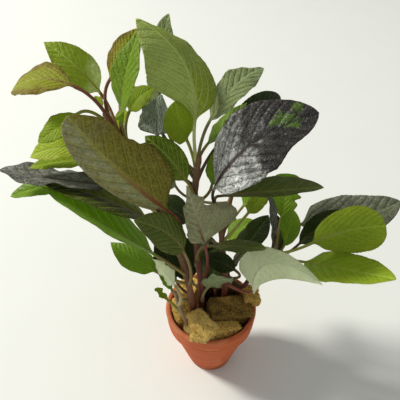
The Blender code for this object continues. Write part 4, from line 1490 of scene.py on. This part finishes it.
# Their order sets each leaf's own waves
LEAVES = (
    Leaf("leaf_left_outer", "stem_left", 187, (-69, 14, 207), (-103, 22, 200),
        24, 0.15, -0.02, -15, 8, Look.BRONZE_TIP, 0.52, ripple=0.5),
    Leaf("leaf_left_upper", "stem_left", 182, (-60, 30, 195), (-86, 36, 220),
        21, 0.08, -0.03, -30, 8, Look.SUNLIT, 0.42),
    Leaf("leaf_left_back", "stem_left", 188, (-53, 24, 205), (-38.5, 33, 228),
        18, 0.0, 0.04, 25, 6, Look.BRONZE_TIP),
    Leaf("leaf_left_upright", "stem_left", 169, (-47, 12, 187), (-36, 23, 230),
        20, 0.1, 0.03, 0, 18, Look.BRIGHT, 0.46, 1.7, 0.1, 0.1),
    Leaf("leaf_left_inner", "stem_left", 168, (-45, 26, 186), (-31, 34, 196),
        16, 0.12, 0.0, 15, 15, Look.FRESH, 0.4),
    Leaf("leaf_left_hanging", "stem_left", 179, (-50, 28, 187), (-52, 30, 166),
        14, 0.02, 0.02, -20, 4, Look.YELLOW, 0.52),
    Leaf("leaf_left_front", "stem_left", 184, (-68, 10, 194), (-86, -4, 186),
        14, 0.04, -0.05, -20, 10, Look.FRESH),
    Leaf("leaf_left_lower", "stem_left", 158, (-67, 10, 174), (-97, 8, 169),
        16, 0.1, -0.02, -25, 14, Look.YELLOW),
    Leaf("leaf_top_large", "stem_middle", 169, (-10, 8, 190), (-37, 24, 236),
        38, 0.14, 0.1, -12, -22, Look.TOP, 0.51, ripple=0.9, quilt=0.55),
    Leaf("leaf_top_right", "stem_middle", 157, (-3, 14, 186), (26, 36, 206),
        18, 0.24, 0.1, 12, 10, Look.GREY, 0.44, ripple=1.0, quilt=0.4),
    Leaf("leaf_top_right_back", "stem_middle", 155, (7, 18, 176), (37, 39, 188),
        18, 0.12, 0.08, 45, 20, Look.DARK, 0.52),
    Leaf("leaf_top_narrow", "stem_middle", 146, (-4, 13, 173), (17, 23, 193),
        12, 0.08, 0.06, 0, 10, Look.BRIGHT, 0.42),
    Leaf("leaf_top_back", "stem_middle", 158, (-29, 36, 197), (-23, 45, 231),
        15, 0.0, -0.03, 10, 18, Look.GREY, 0.54),
    Leaf("leaf_mid_upright", "stem_middle", 142, (-1, 4, 153), (1, 12, 171),
        9, 0.1, 0.03, -5, 15, Look.BRIGHT),
    Leaf("leaf_mid_small", "stem_middle", 163, (-14, 10, 178), (-20, 15, 198),
        20, 0.02, -0.06, -20, 14, Look.FRESH, 0.4, 1.3),
    Leaf("leaf_mid_crumpled", "stem_middle", 153, (-30, 18, 176), (-27, 26, 196),
        27, 0.05, -0.04, -28, 8, Look.CRUMPLED, 0.4, 1.3, ripple=0.9, quilt=0.6),
    Leaf("leaf_mid_ribbed", "stem_middle", 146, (-14, 1, 158), (-36, 13, 179),
        17, 0.06, 0.0, -50, 10, Look.RIBBED, 0.48, quilt=0.8),
    Leaf("leaf_bronze_large", "stem_left", 116, (-24, -12, 149), (-68, -8, 203),
        34, -0.04, 0.0, -52, -4, Look.BRONZE, 0.5, 1.25, 0.1, 0.3, -0.1, ripple=0.9, quilt=0.4,
        notches=((0.62, 1, 0.26, 0.13), (0.5, 1, 0.1, 0.03))),
    Leaf("leaf_purple_large", "stem_right", 142, (0, -2, 155), (50, 4, 198),
        37, 0.18, 0.07, 38, 8, Look.PURPLE, 0.48, 1.35, ripple=0.9, quilt=0.6,
        notches=((0.76, 1, 0.22, 0.14), (0.5, 1, 0.05, 0.03))),
    Leaf("leaf_withered_left", "stem_left", 128, (-52, 4, 153), (-117, 15, 157),
        22, 0.02, -0.06, 10, 14, Look.WITHERED, 0.6, 1.3, ripple=1.6, quilt=0.1),
    Leaf("leaf_far_left", "stem_left", 125, (-72, 20, 143), (-116, 12, 139),
        15, 0.05, 0.0, -12, 20, Look.BRIGHT, 0.56),
    Leaf("leaf_dark_long", "stem_left", 106, (-35, -2, 132), (-93, 4, 155),
        22, 0.1, -0.02, 5, 10, Look.BANDED),
    Leaf("leaf_right_long", "stem_right", 134, (3, 5, 145), (60, 4, 152),
        14, 0.1, 0.12, 10, 14, Look.OLIVE, 0.55, 1.7, 0.1, -0.4),
    Leaf("leaf_right_triangular", "stem_far_right", 98, (42, 16, 118), (45, 30, 142),
        21, 0.1, 0.02, 0, 8, Look.BRIGHT, 0.68, 1.25,
        notches=((0.45, 1, 0.35, 0.05), (0.6, 1, 0.3, 0.04), (0.72, -1, 0.3, 0.05))),
    Leaf("leaf_right_small", "stem_right", 112, (20, 6, 131), (33, 17, 140),
        11, 0.05, 0.02, 5, 12, Look.FRESH, 0.42),
    Leaf("leaf_right_grey", "stem_far_right", 94, (56, 24, 106), (122, 36, 115),
        32, 0.0, 0.07, 26, 16, Look.MATT, 0.38, 1.2, ripple=0.8),
    Leaf("leaf_right_oval", "stem_far_right", 102, (57, -4, 117), (100, 2, 125),
        29, 0.06, -0.02, 24, 5, Look.FRESH, 0.62, 1.15),
    Leaf("leaf_right_upright", "stem_far_right", 98, (44, 7, 104), (47, 11, 130),
        14, 0.02, 0.04, 0, 14, Look.BRIGHT, 0.5),
    Leaf("leaf_right_shaded", "stem_far_right", 88, (54, 11, 101), (79, 17, 124),
        15, 0.06, 0.02, 34, 14, Look.DARK, 0.5),
    Leaf("leaf_right_low", "stem_far_right", 95, (56, 0, 97), (90, -43, 131),
        28, 0.0, 0.0, 8, 11, Look.FRESH, 0.38, 1.2),
    Leaf("leaf_inner_dark", "stem_right", 84, (20, 8, 100), (34, 16, 121),
        15, 0.06, 0.05, 20, 10, Look.DARK, 0.5),
    Leaf("leaf_inner_level", "stem_middle", 100, (-2, -6, 117), (29, -16, 125),
        12, 0.02, 0.0, -6, 12, Look.OLIVE, 0.55),
    Leaf("leaf_inner_deep", "stem_right", 78, (14, -7, 97), (-4, -5, 107),
        12, 0.06, 0.0, -50, 12, Look.DARK, 0.52),
    Leaf("leaf_silver_turned", "stem_right", 72, (26, -4, 76), (60, -28, 109),
        28, 0.33, 0.0, 56, 34, Look.PALE, 0.3, 1.3, ripple=0.8, quilt=0.4),
    Leaf("leaf_wilted", "stem_middle", 78, (-5, -13, 126), (-14, -15, 168),
        31, 0.0, 0.0, -75, 8, Look.SILVER, 0.26, 1.2, 0.1, 0.5, ripple=1.4, quilt=0.5,
        notches=((0.62, 1, 0.62, 0.13), (0.88, 1, 0.75, 0.13), (0.86, -1, 0.25, 0.1), (0.2, 1, 0.1, 0.03))),
    Leaf("leaf_front_oval", "stem_left", 84, (-16, -18, 124), (-40, -25, 154),
        20, 0.1, 0.0, -45, 12, Look.OLIVE, 0.48),
    Leaf("leaf_front_long", "stem_left", 92, (-32, -12, 115), (-94, 4, 153),
        32, 0.07, -0.06, 20, 22, Look.BRIGHT, 0.36),
    Leaf("leaf_folded_pale", "stem_front", 80, (-22, -22, 102), (-34, -15, 116),
        13, 0.02, 0.0, 20, 16, Look.WHITENED, 0.36, ripple=0.8),
    Leaf("leaf_front_low", "stem_left", 84, (-34, -6, 95), (-63, 12, 102),
        19, 0.0, -0.02, 0, 10, Look.BRIGHT, 0.42),
    Leaf("leaf_back_right_high", "stem_back", 128, (20, 36, 148), (43, 39, 174),
        23, 0.1, 0.04, 10, 10, Look.FRESH),
    Leaf("leaf_back_left_high", "stem_back", 118, (-22, 34, 128), (-46, 41, 154),
        24, 0.1, -0.04, -10, 10, Look.GREY),
    Leaf("leaf_back_right_low", "stem_back", 100, (20, 33, 113), (42, 38, 127),
        22, 0.12, 0.0, 10, 12, Look.BRIGHT),
    Leaf("leaf_back_left_low", "stem_back", 88, (-14, 32, 100), (-42, 39, 113),
        22, 0.12, 0.0, -10, 12, Look.DARK),
    Leaf("leaf_back_low", "stem_back", 74, (12, 34, 80), (30, 42, 93),
        18, 0.12, 0.0, 0, 12, Look.BRIGHT),
    Leaf("leaf_left_bud", "stem_left", 190, (-57, 16, 194), (-61, 21, 198),
        5, 0.05, 0.0, 0, 40, Look.YELLOW, node=False),
    Leaf("leaf_left_sliver", "stem_left", 152, (-66, 14, 162), (-99, 8, 162),
        12, 0.06, 0.0, -10, 14, Look.FRESH, node=False),
    Leaf("leaf_mid_teal", "stem_middle", 162, (-34, 34, 186), (-37, 48, 190),
        11, 0.06, 0.0, 0, 10, Look.GREY, node=False),
    Leaf("leaf_right_narrow", "stem_far_right", 92, (37, 6, 110), (31, 13, 144),
        8, 0.04, 0.0, 10, 20, Look.WITHERED, node=False),
    Leaf("leaf_right_dim", "stem_far_right", 78, (42, 9, 97), (41, 24, 114),
        10, 0.05, 0.0, 0, 14, Look.DARK, node=False),
    Leaf("leaf_front_curled", "stem_middle", 62, (-3, -9, 83), (10, -25, 111),
        16, 0.05, 0.0, -39, 10, Look.GREY, 0.5, ripple=1.2, node=False),
    Leaf("stub_front", "stem_front", 68, (-27, -14, 78), (-35, -11, 85),
        7, 0.0, 0.0, 0, 30, Look.FRESH, 0.6, notches=((0.5, 1, 0.6, 0.1), (0.8, -1, 0.6, 0.1)),
        node=False),
    Leaf("leaf_foot_young", "stem_middle", 128, (-9, -4, 137), (-6, -2, 149),
        7, 0.05, 0.0, -20, 30, Look.GREY, node=False),
    inner_leaf("left", "stem_left", 72, (-23, 4, 76), (-35, 12, 106), 20, -20),
    inner_leaf("middle", "stem_middle", 76, (-13, 12, 67), (-24, 22, 99), 24, -10),
    inner_leaf("right", "stem_right", 68, (0, 12, 62), (7, 18, 90), 24, 0),
    inner_leaf("far", "stem_far_right", 62, (12, 15, 71), (24, 10, 97), 14, 10),
    inner_leaf("high", "stem_right", 96, (19, 21, 82), (32, 27, 100), 18, 10),
    inner_leaf("low", "stem_left", 66, (-25, -6, 78), (-36, -2, 101), 9, -10, Look.BRIGHT),
    inner_leaf("behind", "stem_back", 66, (-3, 26, 61), (-7, 32, 92), 22, 0),
    inner_leaf("gap", "stem_middle", 92, (-10, 8, 88), (1, 10, 113), 14, 0),
)


# The studio


@dataclass
class Studio:
    """The camera, the pale floor and soft daylight from the back left.

    The camera's place, lens and sensor are in mm, its slope in degrees and the rest in metres.
    """

    camera_at: Point = (-7.33, -200.14, 314.32)
    camera_pitch: float = 50.0
    lens: float = 43.2
    sensor: float = 36.0
    nearest: float = 0.01
    floor_size: float = 6.0
    sky: Colour = (0.97, 0.98, 1.0)
    sky_strength: float = 0.42
    window_at: Point = (-2.05, 0.60, 2.15)
    window_size: float = 0.55
    window_power: float = 90.0
    window_colour: Colour = (1.0, 0.985, 0.94)
    aim_height: float = 0.11

    def window(self) -> None:
        """Hang the soft square lamp that shines on the plant."""
        data = bpy.data.lights.new("window", "AREA")
        data.shape, data.size = "SQUARE", self.window_size
        data.energy, data.color = self.window_power, self.window_colour
        lamp = bpy.data.objects.new("window", data)
        lamp.location = self.window_at
        aim = Vector((0.0, 0.0, self.aim_height)) - Vector(self.window_at)
        lamp.rotation_euler = aim.to_track_quat("-Z", "Y").to_euler()
        bpy.context.scene.collection.objects.link(lamp)

    def build(self) -> None:
        """Set up the camera, the floor and the light."""
        data = bpy.data.cameras.new("camera")
        data.lens, data.sensor_width, data.clip_start = self.lens, self.sensor, self.nearest
        camera = bpy.data.objects.new("camera", data)
        camera.location = [part * MM for part in self.camera_at]
        camera.rotation_euler = (math.radians(self.camera_pitch), 0.0, 0.0)
        bpy.context.scene.collection.objects.link(camera)
        bpy.context.scene.camera = camera

        half = self.floor_size / 2
        mesh = bpy.data.meshes.new("floor")
        corners = [(-half, -half, 0), (half, -half, 0), (half, half, 0), (-half, half, 0)]
        mesh.from_pydata(corners, [], [(0, 1, 2, 3)])
        mesh.materials.append(FloorFinish().material())
        floor = bpy.data.objects.new("floor", mesh)
        bpy.context.scene.collection.objects.link(floor)

        world = bpy.data.worlds.new("daylight")
        world.use_nodes = True
        background = world.node_tree.nodes["Background"]
        background.inputs["Color"].default_value = (*self.sky, 1.0)
        background.inputs["Strength"].default_value = self.sky_strength
        bpy.context.scene.world = world
        bpy.context.scene.view_settings.view_transform = "Standard"
        self.window()


def main() -> None:
    """Build and dress every piece."""
    logging.basicConfig(level=logging.INFO, format="%(message)s")
    Studio().build()
    pot = TerracottaPot().build()
    LOG.info("pot: %s", pot.name)
    for piece in RockWool().build():
        LOG.info("wool: %s", piece.name)
    stems = Stems()
    heights: dict[str, list[float]] = {}
    for leaf in LEAVES:
        heights.setdefault(leaf.stem, []).append(leaf.height)
    for piece in stems.build(heights):
        LOG.info("stem: %s", piece.name)
    for piece in Foliage(stems).build(LEAVES):
        LOG.info("leaf: %s, %d faces", piece.name, len(piece.data.polygons))


if __name__ == "__main__":
    main()
